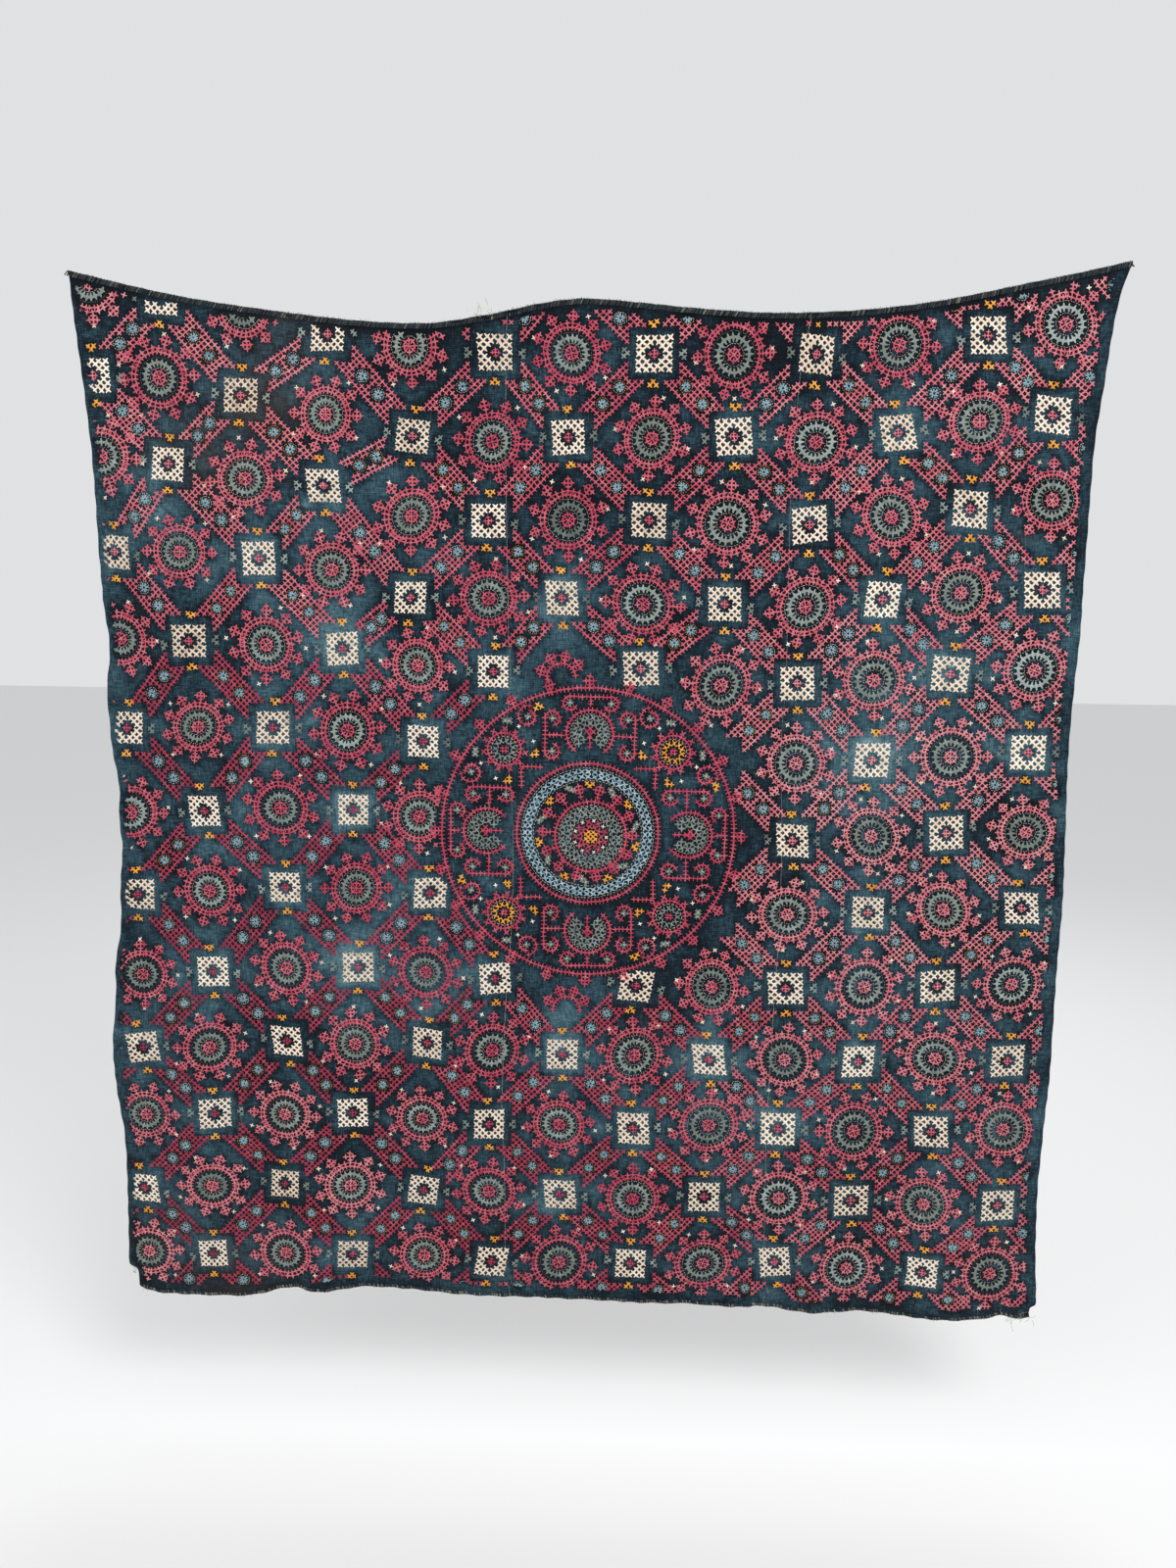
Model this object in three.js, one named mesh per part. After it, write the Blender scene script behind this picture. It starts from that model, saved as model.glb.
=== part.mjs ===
// Embroidered panel: strips of hand-loomed indigo cotton, sewn edge to edge and hung by the top edge.
// Millimetres. +X runs to the viewer's right, +Y away from the viewer and +Z up.
// The origin is the point of the top edge that is held, in the middle of the cloth's thickness.

import * as THREE from 'three';

// Driving dimensions of the cloth
const CLOTH_THICKNESS = 1.6;
const SEAM_GAP = 0.3;
const COLUMN_STEP = 40;
const ROW_STEP = 58;

// How the cloth stands out from the plane that it hangs in, growing down from the top edge
const STAND_OFF = 6;
const STAND_OFF_REACH = 220;

// Hems from the outer edge inward: rolled at the top and bottom, folded flat at the sides
const TOP_HEM = [
  { inset: 0, thickness: 2.8 },
  { inset: 2.4, thickness: 6.2 },
  { inset: 8.4, thickness: 6.2 },
  { inset: 12.4, thickness: CLOTH_THICKNESS },
];
const BOTTOM_HEM = [
  { inset: 0, thickness: 2.4 },
  { inset: 1.8, thickness: 4.8 },
  { inset: 4.8, thickness: 4.8 },
  { inset: 7.6, thickness: CLOTH_THICKNESS },
];
const SIDE_HEM = [
  { inset: 0, thickness: CLOTH_THICKNESS },
  { inset: 1.6, thickness: 2.4 },
  { inset: 13, thickness: 2.4 },
  { inset: 15.5, thickness: CLOTH_THICKNESS },
];

// Heights above the bottom edge at which the sides step in near the bottom corners
const CORNER_STEPS = [40, 32, 23, 19];

// Outline of the hung cloth: the top edge sags between the points where it is held
const TOP_EDGE = [
  { x: -767, z: 37 },
  { x: -650, z: 11 },
  { x: -503, z: -14 },
  { x: -357, z: -29 },
  { x: -225, z: -38 },
  { x: -140, z: -24 },
  { x: -65, z: -5 },
  { x: 0, z: 3 },
  { x: 80, z: -2 },
  { x: 170, z: -12 },
  { x: 270, z: -19 },
  { x: 370, z: -15 },
  { x: 475, z: -3 },
  { x: 580, z: 14 },
  { x: 690, z: 37 },
  { x: 796, z: 61 },
];
const BOTTOM_EDGE = [
  { x: -736, z: -1606 },
  { x: -725, z: -1613 },
  { x: -703, z: -1618 },
  { x: -600, z: -1618 },
  { x: -540, z: -1617 },
  { x: -473, z: -1600 },
  { x: -430, z: -1608 },
  { x: -347, z: -1596 },
  { x: -180, z: -1604 },
  { x: 0, z: -1608 },
  { x: 150, z: -1607 },
  { x: 280, z: -1613 },
  { x: 330, z: -1609 },
  { x: 410, z: -1619 },
  { x: 490, z: -1613 },
  { x: 600, z: -1623 },
  { x: 668, z: -1623 },
  { x: 701, z: -1619 },
  { x: 725, z: -1614 },
  { x: 758, z: -1620 },
  { x: 772, z: -1616 },
];
const LEFT_EDGE = [
  { z: 37, x: -767 },
  { z: -80, x: -755 },
  { z: -222, x: -744 },
  { z: -440, x: -739 },
  { z: -519, x: -732 },
  { z: -600, x: -740 },
  { z: -750, x: -727 },
  { z: -873, x: -729 },
  { z: -955, x: -735 },
  { z: -1080, x: -751 },
  { z: -1230, x: -759 },
  { z: -1340, x: -750 },
  { z: -1520, x: -752 },
  { z: -1566, x: -752 },
  { z: -1574, x: -741 },
  { z: -1606, x: -736 },
];
const RIGHT_EDGE = [
  { z: 61, x: 796 },
  { z: 2, x: 780 },
  { z: -100, x: 768 },
  { z: -200, x: 760 },
  { z: -420, x: 762 },
  { z: -650, x: 760 },
  { z: -840, x: 767 },
  { z: -1000, x: 770 },
  { z: -1200, x: 772 },
  { z: -1300, x: 767 },
  { z: -1480, x: 773 },
  { z: -1576, x: 781 },
  { z: -1592, x: 781 },
  { z: -1598, x: 772 },
  { z: -1616, x: 772 },
];

// Loom strips from left to right, as shares of the cloth's width: a half width, then three full ones
const STRIPS = [
  { name: 'left_strip', from: 0, to: 0.135, shade: '#35505f' },
  { name: 'second_strip', from: 0.135, to: 0.42, shade: '#2f4a5a' },
  { name: 'third_strip', from: 0.42, to: 0.705, shade: '#28404f' },
  { name: 'right_strip', from: 0.705, to: 1, shade: '#304b5b' },
];

// Where the slack top edge leans out towards the viewer between the points that hold it
const TOP_LEANS = [
  { x: -480, half: 130, out: 9, fall: 80 },
  { x: -205, half: 165, out: 24, fall: 95 },
  { x: 275, half: 240, out: 20, fall: 100 },
  { x: 630, half: 120, out: 8, fall: 80 },
];

// Soft folds: pulls that run down from the held points, and ripples above the bottom hem
const FOLDS = [
  { x0: -745, z0: 15, x1: -330, z1: -360, half: 75, out: 8 },
  { x0: -745, z0: 15, x1: -590, z1: -660, half: 70, out: 7 },
  { x0: -5, z0: -5, x1: -190, z1: -460, half: 80, out: 6 },
  { x0: 5, z0: -5, x1: 175, z1: -500, half: 85, out: 5 },
  { x0: 780, z0: 45, x1: 400, z1: -360, half: 80, out: 8 },
  { x0: 780, z0: 45, x1: 650, z1: -640, half: 70, out: 6 },
  { x0: -640, z0: -900, x1: -610, z1: -1700, half: 80, out: 9 },
  { x0: -420, z0: -1120, x1: -440, z1: -1700, half: 90, out: 7 },
  { x0: -170, z0: -980, x1: -150, z1: -1700, half: 100, out: 6 },
  { x0: 110, z0: -1150, x1: 130, z1: -1700, half: 95, out: 8 },
  { x0: 360, z0: -880, x1: 380, z1: -1700, half: 110, out: 6 },
  { x0: 600, z0: -1050, x1: 640, z1: -1700, half: 90, out: 9 },
];

// The drawn-up left edge is puckered, and so is the right one, less
const PUCKERS = [
  { side: 'left', z: -680, half: 60, out: 6 },
  { side: 'left', z: -790, half: 55, out: 9 },
  { side: 'left', z: -905, half: 70, out: 8 },
  { side: 'left', z: -1030, half: 60, out: 10 },
  { side: 'left', z: -1170, half: 80, out: 7 },
  { side: 'right', z: -470, half: 90, out: 4 },
  { side: 'right', z: -900, half: 100, out: 5 },
  { side: 'right', z: -1290, half: 80, out: 6 },
];
const PUCKER_REACH = 75;

const mix = (from, to, share) => from + (to - from) * share;

// A soft hump, 1 in the middle and 0 from one half width on
function hump(u) {
  return Math.abs(u) < 1 ? 0.5 + 0.5 * Math.cos(Math.PI * u) : 0;
}

// Rises from 0 to 1 and levels off
function ease(u) {
  const share = THREE.MathUtils.clamp(u, 0, 1);
  return share * share * (3 - 2 * share);
}

// Reads one column of a table smoothly against another
function follow(table, along, column, at) {
  const last = table.length - 1;
  const rising = table[last][along] > table[0][along];
  let row = 0;
  while (row < last - 1 && (rising ? at > table[row + 1][along] : at < table[row + 1][along])) {
    row += 1;
  }
  const slope = (k) => {
    const before = table[Math.max(k - 1, 0)];
    const after = table[Math.min(k + 1, last)];
    return (after[column] - before[column]) / (after[along] - before[along]);
  };
  const start = table[row];
  const end = table[row + 1];
  const span = end[along] - start[along];
  const u = THREE.MathUtils.clamp((at - start[along]) / span, 0, 1);
  const bend = ease(u);
  const level = mix(start[column], end[column], bend);
  const leaving = slope(row) * span * u * (1 - u) * (1 - u);
  const arriving = slope(row + 1) * span * u * u * (1 - u);
  return level + leaving - arriving;
}

const ends = (table) => [table[0], table[table.length - 1]];
const [TOP_LEFT, TOP_RIGHT] = ends(TOP_EDGE);
const [BOTTOM_LEFT, BOTTOM_RIGHT] = ends(BOTTOM_EDGE);
const MEAN_WIDTH = (TOP_RIGHT.x - TOP_LEFT.x + BOTTOM_RIGHT.x - BOTTOM_LEFT.x) / 2;
const MEAN_HEIGHT = (TOP_LEFT.z - BOTTOM_LEFT.z + TOP_RIGHT.z - BOTTOM_RIGHT.z) / 2;

// Place on the front plane of a point of the cloth, by its shares across and down
function outlinePoint(across, down) {
  const leftZ = mix(TOP_LEFT.z, BOTTOM_LEFT.z, down);
  const rightZ = mix(TOP_RIGHT.z, BOTTOM_RIGHT.z, down);
  const topX = mix(TOP_LEFT.x, TOP_RIGHT.x, across);
  const bottomX = mix(BOTTOM_LEFT.x, BOTTOM_RIGHT.x, across);
  const left = { x: follow(LEFT_EDGE, 'z', 'x', leftZ), z: leftZ };
  const right = { x: follow(RIGHT_EDGE, 'z', 'x', rightZ), z: rightZ };
  const top = { x: topX, z: follow(TOP_EDGE, 'x', 'z', topX) };
  const bottom = { x: bottomX, z: follow(BOTTOM_EDGE, 'x', 'z', bottomX) };
  const blend = (key) => {
    const sides = mix(left[key], right[key], across);
    const rails = mix(top[key], bottom[key], down);
    const upper = mix(TOP_LEFT[key], TOP_RIGHT[key], across);
    const lower = mix(BOTTOM_LEFT[key], BOTTOM_RIGHT[key], across);
    return sides + rails - mix(upper, lower, down);
  };
  return { x: blend('x'), z: blend('z') };
}

// How far one fold lifts the cloth at a point: full along its line, fading at both ends
function foldLift(fold, x, z) {
  const runX = fold.x1 - fold.x0;
  const runZ = fold.z1 - fold.z0;
  const length = Math.hypot(runX, runZ);
  const along = ((x - fold.x0) * runX + (z - fold.z0) * runZ) / (length * length);
  const aside = ((x - fold.x0) * runZ - (z - fold.z0) * runX) / length;
  const fade = Math.sin(Math.PI * THREE.MathUtils.clamp(along, 0, 1));
  return fold.out * fade * hump(aside / fold.half);
}

// Distance that the cloth stands out towards the viewer at a point of its front plane
function standOut(x, z) {
  const drop = Math.max(follow(TOP_EDGE, 'x', 'z', x) - z, 0);
  const fromLeft = x - follow(LEFT_EDGE, 'z', 'x', z);
  const fromRight = follow(RIGHT_EDGE, 'z', 'x', z) - x;
  let out = STAND_OFF * ease(drop / STAND_OFF_REACH);
  for (const lean of TOP_LEANS) {
    out += lean.out * hump((x - lean.x) / lean.half) * hump(drop / lean.fall);
  }
  for (const fold of FOLDS) {
    out += foldLift(fold, x, z);
  }
  for (const pucker of PUCKERS) {
    const inward = pucker.side === 'left' ? fromLeft : fromRight;
    out += pucker.out * hump((z - pucker.z) / pucker.half) * hump(inward / PUCKER_REACH);
  }
  return out;
}

// Thickness of one hem at a distance from its edge
function hemThickness(hem, inset) {
  const last = hem.length - 1;
  const row = hem.findIndex((step, k) => k < last && inset <= hem[k + 1].inset);
  if (row < 0) {
    return CLOTH_THICKNESS;
  }
  const start = hem[row];
  const end = hem[row + 1];
  return mix(start.thickness, end.thickness, (inset - start.inset) / (end.inset - start.inset));
}

// Thickness of the cloth at a point, by its shares across and down: the thickest hem wins
function thicknessAt(across, down) {
  return Math.max(
    hemThickness(SIDE_HEM, Math.min(across, 1 - across) * MEAN_WIDTH),
    hemThickness(TOP_HEM, down * MEAN_HEIGHT),
    hemThickness(BOTTOM_HEM, (1 - down) * MEAN_HEIGHT),
  );
}

// Even shares from one line to another, without the two ends
function between(from, to, size, step) {
  const count = Math.ceil(((to - from) * size) / step);
  return Array.from({ length: count - 1 }, (_, k) => mix(from, to, (k + 1) / count));
}

// Shares across of a strip's grid lines, with the hem's lines at a side that is an outer edge
function columnLines(strip) {
  const hem = SIDE_HEM.map((row) => row.inset / MEAN_WIDTH);
  const left = strip.from === 0 ? hem : [strip.from];
  const right = strip.to === 1 ? hem.map((share) => 1 - share).reverse() : [strip.to];
  return [...left, ...between(left[left.length - 1], right[0], MEAN_WIDTH, COLUMN_STEP), ...right];
}

// Shares down of the grid lines, with those of both hems and of the corner steps
function rowLines() {
  const top = TOP_HEM.map((row) => row.inset / MEAN_HEIGHT);
  const steps = CORNER_STEPS.map((height) => 1 - height / MEAN_HEIGHT);
  const hem = BOTTOM_HEM.map((row) => 1 - row.inset / MEAN_HEIGHT).reverse();
  return [...top, ...between(top[top.length - 1], steps[0], MEAN_HEIGHT, ROW_STEP), ...steps, ...hem];
}

// One strip as a closed sheet: a front, a back and the rim between them
function stripGeometry(strip) {
  const columns = columnLines(strip);
  const rows = rowLines();
  const wide = columns.length;
  const high = rows.length;
  const positions = [];
  const faces = [];
  const seamShift = (k) => {
    if (k === 0 && strip.from > 0) {
      return SEAM_GAP / 2;
    }
    return k === wide - 1 && strip.to < 1 ? -SEAM_GAP / 2 : 0;
  };
  for (const side of [-1, 1]) {
    rows.forEach((down) => {
      columns.forEach((across, k) => {
        const point = outlinePoint(across, down);
        const half = thicknessAt(across, down) / 2;
        positions.push(point.x + seamShift(k), side * half - standOut(point.x, point.z), point.z);
      });
    });
  }
  const front = (i, j) => j * wide + i;
  const back = (i, j) => wide * high + j * wide + i;
  const quad = (a, b, c, d) => faces.push(a, b, c, a, c, d);
  for (let j = 0; j < high - 1; j += 1) {
    for (let i = 0; i < wide - 1; i += 1) {
      quad(front(i, j), front(i, j + 1), front(i + 1, j + 1), front(i + 1, j));
      quad(back(i, j), back(i + 1, j), back(i + 1, j + 1), back(i, j + 1));
    }
  }
  for (let i = 0; i < wide - 1; i += 1) {
    quad(front(i, 0), front(i + 1, 0), back(i + 1, 0), back(i, 0));
    quad(front(i, high - 1), back(i, high - 1), back(i + 1, high - 1), front(i + 1, high - 1));
  }
  for (let j = 0; j < high - 1; j += 1) {
    quad(front(0, j), back(0, j), back(0, j + 1), front(0, j + 1));
    quad(front(wide - 1, j), front(wide - 1, j + 1), back(wide - 1, j + 1), back(wide - 1, j));
  }
  const geometry = new THREE.BufferGeometry();
  geometry.setAttribute('position', new THREE.Float32BufferAttribute(positions, 3));
  geometry.setIndex(faces);
  geometry.computeVertexNormals();
  return geometry;
}

const panel = new THREE.Group();
for (const strip of STRIPS) {
  const cotton = new THREE.MeshStandardMaterial({ color: strip.shade, roughness: 0.92, metalness: 0 });
  const mesh = new THREE.Mesh(stripGeometry(strip), cotton);
  mesh.name = strip.name;
  panel.add(mesh);
}

export default panel;
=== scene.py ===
import math

import bpy
import numpy as np
from mathutils import Matrix, Vector


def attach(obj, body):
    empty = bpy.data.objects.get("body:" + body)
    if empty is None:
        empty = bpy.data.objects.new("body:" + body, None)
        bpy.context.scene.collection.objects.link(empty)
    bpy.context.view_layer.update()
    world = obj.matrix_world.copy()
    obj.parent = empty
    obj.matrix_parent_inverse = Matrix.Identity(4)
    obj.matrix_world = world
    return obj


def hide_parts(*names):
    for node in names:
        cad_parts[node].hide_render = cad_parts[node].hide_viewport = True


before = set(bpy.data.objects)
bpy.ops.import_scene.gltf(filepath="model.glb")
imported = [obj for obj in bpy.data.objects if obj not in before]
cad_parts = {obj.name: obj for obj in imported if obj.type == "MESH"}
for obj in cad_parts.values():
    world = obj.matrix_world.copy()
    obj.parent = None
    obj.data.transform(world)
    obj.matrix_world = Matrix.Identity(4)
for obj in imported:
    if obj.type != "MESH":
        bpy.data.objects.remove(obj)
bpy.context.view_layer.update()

# An embroidered panel of indigo cotton strips, hung by its top edge.
# Sizes and places are in millimetres in the frame of the solids: +X to the viewer's right, +Y away
# from the viewer, +Z up, and the origin where the middle of the top edge is held.

MM = 0.001
BODY = "root"
FULL_TURN = 2 * math.pi
hand = np.random.default_rng(23)


def table(columns, *rows):
    """A short table, read by the names of its columns."""
    return dict(zip(columns.split(), np.array(rows, float).T))


# The hung outline, with the edges of the solids
TOP_EDGE = table(
    "x z",
    (-767, 37), (-650, 11), (-503, -14), (-357, -29), (-225, -38), (-140, -24), (-65, -5), (0, 3),
    (80, -2), (170, -12), (270, -19), (370, -15), (475, -3), (580, 14), (690, 37), (796, 61),
)
BOTTOM_EDGE = table(
    "x z",
    (-736, -1606), (-725, -1613), (-703, -1618), (-600, -1618), (-540, -1617), (-473, -1600),
    (-430, -1608), (-347, -1596), (-180, -1604), (0, -1608), (150, -1607), (280, -1613), (330, -1609),
    (410, -1619), (490, -1613), (600, -1623), (668, -1623), (701, -1619), (725, -1614), (758, -1620),
    (772, -1616),
)
LEFT_EDGE = table(
    "z x",
    (37, -767), (-80, -755), (-222, -744), (-440, -739), (-519, -732), (-600, -740), (-750, -727),
    (-873, -729), (-955, -735), (-1080, -751), (-1230, -759), (-1340, -750), (-1520, -752),
    (-1566, -752), (-1574, -741), (-1606, -736),
)
RIGHT_EDGE = table(
    "z x",
    (61, 796), (2, 780), (-100, 768), (-200, 760), (-420, 762), (-650, 760), (-840, 767),
    (-1000, 770), (-1200, 772), (-1300, 767), (-1480, 773), (-1576, 781), (-1592, 781),
    (-1598, 772), (-1616, 772),
)

# Loom strips from left to right, and their edges as shares of the width
STRIPS = ("left_strip", "second_strip", "third_strip", "right_strip")
SEAMS = (0.0, 0.135, 0.42, 0.705, 1.0)
SEAM_GAP = 0.3

# The main folds, as in the solids
STAND_OFF = 6
STAND_OFF_REACH = 220
TOP_LEANS = table(
    "x half out fall",
    (-480, 130, 9, 80), (-205, 165, 24, 95), (275, 240, 20, 100), (630, 120, 8, 80),
)
FOLDS = table(
    "x0 z0 x1 z1 half out",
    (-745, 15, -330, -360, 75, 8), (-745, 15, -590, -660, 70, 7), (-5, -5, -190, -460, 80, 6),
    (5, -5, 175, -500, 85, 5), (780, 45, 400, -360, 80, 8), (780, 45, 650, -640, 70, 6),
    (-640, -900, -610, -1700, 80, 9), (-420, -1120, -440, -1700, 90, 7),
    (-170, -980, -150, -1700, 100, 6), (110, -1150, 130, -1700, 95, 8),
    (360, -880, 380, -1700, 110, 6), (600, -1050, 640, -1700, 90, 9),
)
PUCKERS = table(
    "side z half out",
    (-1, -680, 60, 6), (-1, -790, 55, 9), (-1, -905, 70, 8), (-1, -1030, 60, 10), (-1, -1170, 80, 7),
    (1, -470, 90, 4), (1, -900, 100, 5), (1, -1290, 80, 6),
)
PUCKER_REACH = 75

# The sheet itself, its rolled top and bottom hems and its folded sides
CLOTH_HALF = 0.45
TOP_ROLL = {"middle": 4.2, "half": 2.7}
BOTTOM_ROLL = {"middle": 3.2, "half": 2.2}
SIDE_FOLD = {"wide": 13.0, "half": 0.95}
ROLL_FALL = 1.4
ROLL_BLUNT = 0.03
FOLD_NOSE = 1.6
FOLD_FALL = 2.5
FOLD_BLUNT = 0.1
RIM_HALF = 0.2
TOP_LINES = (0, 0.6, 2.0, 4.2, 6.6, 8.4, 11)
BOTTOM_LINES = (0, 0.5, 1.5, 3.2, 5.2, 6.6, 8.5)
SIDE_LINES = (0, 0.5, 1.6, 3.4, 7, 13, 15.5, 17.5, 19.5, 22)
SEAM_LINES = (0, 2.5, 5)
CORNER_LINES = (19, 23, 32, 40)
GRID_STEP = 9.0

# A tear in the front of the folded right side
TEAR = {"left": 748.0, "right": 765.0, "low": -1326.0, "high": -1280.0}
TEAR_DEPTH = 3.2
TEAR_RIM = 2.0
TEAR_RAGGED = 1.6
TEAR_RAG_SIZE = 9

# The grid of chance numbers behind every uneven patch
MOTTLE_CELLS = 64
MOTTLE_SHIFT = 500


def hump(u):
    """A soft hump, 1 in the middle and 0 from one half width on."""
    return 0.5 + 0.5 * np.cos(np.pi * np.clip(u, -1, 1))


def ease(u):
    """Rises from 0 to 1 and levels off."""
    u = np.clip(u, 0, 1)
    return u * u * (3 - 2 * u)


def mix(a, b, share):
    return a + (b - a) * share


def stacked(*columns):
    """Columns of numbers side by side, as the rows of one array."""
    return np.stack(np.broadcast_arrays(*columns), -1)


def unit(way):
    return way / np.linalg.norm(way, axis=-1, keepdims=True)


def follow(rows, at):
    """Reads the second column of a table smoothly against its first, as the solids do."""
    key, value = rows.values()
    if key[0] > key[-1]:
        key, value = key[::-1], value[::-1]
    before = np.maximum(np.arange(len(key)) - 1, 0)
    after = np.minimum(np.arange(len(key)) + 1, len(key) - 1)
    slope = (value[after] - value[before]) / (key[after] - key[before])
    row = np.clip(np.searchsorted(key, at) - 1, 0, len(key) - 2)
    span = key[row + 1] - key[row]
    u = np.clip((at - key[row]) / span, 0, 1)
    level = mix(value[row], value[row + 1], ease(u))
    return level + span * u * (1 - u) * (slope[row] * (1 - u) - slope[row + 1] * u)


def corner(rows, end):
    return np.array([rows["x"][end], rows["z"][end]])


TOP_LEFT, TOP_RIGHT = corner(TOP_EDGE, 0), corner(TOP_EDGE, -1)
BOTTOM_LEFT, BOTTOM_RIGHT = corner(BOTTOM_EDGE, 0), corner(BOTTOM_EDGE, -1)
MEAN_WIDTH = (TOP_RIGHT[0] - TOP_LEFT[0] + BOTTOM_RIGHT[0] - BOTTOM_LEFT[0]) / 2
MEAN_HEIGHT = (TOP_LEFT[1] - BOTTOM_LEFT[1] + TOP_RIGHT[1] - BOTTOM_RIGHT[1]) / 2


def outline_point(across, down):
    """Place on the front plane of a point of the cloth, by its shares across and down."""
    left_z = mix(TOP_LEFT[1], BOTTOM_LEFT[1], down)
    right_z = mix(TOP_RIGHT[1], BOTTOM_RIGHT[1], down)
    top_x = mix(TOP_LEFT[0], TOP_RIGHT[0], across)
    bottom_x = mix(BOTTOM_LEFT[0], BOTTOM_RIGHT[0], across)
    left = (follow(LEFT_EDGE, left_z), left_z)
    right = (follow(RIGHT_EDGE, right_z), right_z)
    top = (top_x, follow(TOP_EDGE, top_x))
    bottom = (bottom_x, follow(BOTTOM_EDGE, bottom_x))
    place = []
    for k in (0, 1):
        sides = mix(left[k], right[k], across)
        rails = mix(top[k], bottom[k], down)
        upper = mix(TOP_LEFT[k], TOP_RIGHT[k], across)
        lower = mix(BOTTOM_LEFT[k], BOTTOM_RIGHT[k], across)
        place.append(sides + rails - mix(upper, lower, down))
    return place


def edge_distances(x, z):
    """Distance from the left, right, top and bottom edges."""
    return (
        x - follow(LEFT_EDGE, z),
        follow(RIGHT_EDGE, z) - x,
        follow(TOP_EDGE, x) - z,
        z - follow(BOTTOM_EDGE, x),
    )


def share_across(x, z):
    left, right, _, _ = edge_distances(x, z)
    return left / (left + right)


def mottle(x, z, size, seed):
    """Smooth uneven patches of about one size, from -1 to 1."""
    cells = np.random.default_rng(seed).uniform(-1, 1, (MOTTLE_CELLS, MOTTLE_CELLS))
    u, v = x / size + MOTTLE_SHIFT, z / size + MOTTLE_SHIFT
    i, j = np.floor(u).astype(int), np.floor(v).astype(int)
    a, b = ease(u - i), ease(v - j)
    i, j = i % MOTTLE_CELLS, j % MOTTLE_CELLS
    right, above = (i + 1) % MOTTLE_CELLS, (j + 1) % MOTTLE_CELLS
    return mix(mix(cells[i, j], cells[right, j], a), mix(cells[i, above], cells[right, above], a), b)


def uneven(rows, x, z):
    """Mottles of several sizes together."""
    return sum(amount * mottle(x, z, size, int(seed)) for size, amount, seed in zip(*rows.values()))


def main_folds(x, z):
    """How far the cloth stands out towards the viewer, as in the solids."""
    left, right, drop, _ = edge_distances(x, z)
    drop = np.maximum(drop, 0)
    out = STAND_OFF * ease(drop / STAND_OFF_REACH)
    for at, half, amount, fall in zip(*TOP_LEANS.values()):
        out = out + amount * hump((x - at) / half) * hump(drop / fall)
    for x0, z0, x1, z1, half, amount in zip(*FOLDS.values()):
        length = math.hypot(x1 - x0, z1 - z0)
        along = ((x - x0) * (x1 - x0) + (z - z0) * (z1 - z0)) / length**2
        aside = ((x - x0) * (z1 - z0) - (z - z0) * (x1 - x0)) / length
        out = out + amount * np.sin(np.pi * np.clip(along, 0, 1)) * hump(aside / half)
    for side, at, half, amount in zip(*PUCKERS.values()):
        inward = left if side < 0 else right
        out = out + amount * hump((z - at) / half) * hump(inward / PUCKER_REACH)
    return out


# Small unevenness that the stitching and the hems draw into the cloth
CRUMPLES = table("size amount seed", (150, 1.8, 1), (70, 1.1, 2), (36, 0.5, 3))
CALM_BELOW_TOP = 60
EDGE_WAVE = 41
EDGE_WAVE_OUT = 1.3
EDGE_WAVE_REACH = 40
EDGE_WAVE_DRIFT = 3
EDGE_DRIFT_SIZE = 130
SEAM_DIP = 0.6
SEAM_DIP_REACH = 6


def torn(x, z):
    """1 inside the tear and 0 outside it."""
    ragged = TEAR_RAGGED * mottle(x, z, TEAR_RAG_SIZE, 31)
    sides = (x - TEAR["left"], TEAR["right"] - x, z - TEAR["low"], TEAR["high"] - z)
    inside = np.minimum.reduce(sides)
    return ease((inside + ragged) / TEAR_RIM)


def relief(x, z):
    """Main folds and small unevenness together."""
    left, right, drop, rise = edge_distances(x, z)
    out = main_folds(x, z) + ease(drop / CALM_BELOW_TOP) * uneven(CRUMPLES, x, z)
    for inset, along in ((left, z), (right, z), (rise, x), (drop, x)):
        drift = EDGE_WAVE_DRIFT * mottle(along, along, EDGE_DRIFT_SIZE, 4)
        wave = np.sin(FULL_TURN * along / EDGE_WAVE + drift)
        out = out + EDGE_WAVE_OUT * wave * hump(inset / EDGE_WAVE_REACH)
    share = left / np.maximum(left + right, 1)
    for seam in SEAMS[1:-1]:
        out = out - SEAM_DIP * hump((share - seam) * MEAN_WIDTH / SEAM_DIP_REACH)
    return out - TEAR_DEPTH * torn(x, z)


def on_front(x, z, lift):
    """Points on the front of the cloth, raised by lift."""
    return stacked(x, -(relief(x, z) + CLOTH_HALF + lift), z)


def on_back(x, z, lift):
    return stacked(x, CLOTH_HALF + lift - relief(x, z), z)


# Meshes from arrays

BAKE_MAP = "OFBake"


def placed(name, data):
    """A new object in the scene."""
    thing = bpy.data.objects.new(name, data)
    bpy.context.scene.collection.objects.link(thing)
    return thing


def mesh_object(name, points, faces, material, map_points, attributes):
    """A piece from arrays in millimetres, with its map for baking and its numbers per point."""
    corners = faces.shape[1]
    mesh = bpy.data.meshes.new(name)
    mesh.vertices.add(len(points))
    mesh.vertices.foreach_set("co", (points * MM).astype(np.float32).ravel())
    mesh.loops.add(faces.size)
    mesh.polygons.add(len(faces))
    mesh.polygons.foreach_set("loop_start", np.arange(0, faces.size, corners, dtype=np.int32))
    mesh.polygons.foreach_set("vertices", faces.astype(np.int32).ravel())
    mesh.update(calc_edges=True)
    mesh.polygons.foreach_set("use_smooth", np.ones(len(faces), bool))
    layer = mesh.uv_layers.new(name=BAKE_MAP)
    layer.uv.foreach_set("vector", map_points.astype(np.float32).ravel())
    for key, values in attributes.items():
        mesh.attributes.new(key, "FLOAT", "POINT").data.foreach_set("value", values.astype(np.float32))
    mesh.materials.append(material)
    piece = placed(name, mesh)
    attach(piece, BODY)
    return piece


def flat_map(points, faces):
    """Map of a piece as it is seen from the front."""
    plane = points[:, (0, 2)]
    low, high = plane.min(0), plane.max(0)
    return ((plane - low) / np.maximum(high - low, 1))[faces.ravel()]


# Materials


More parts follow.
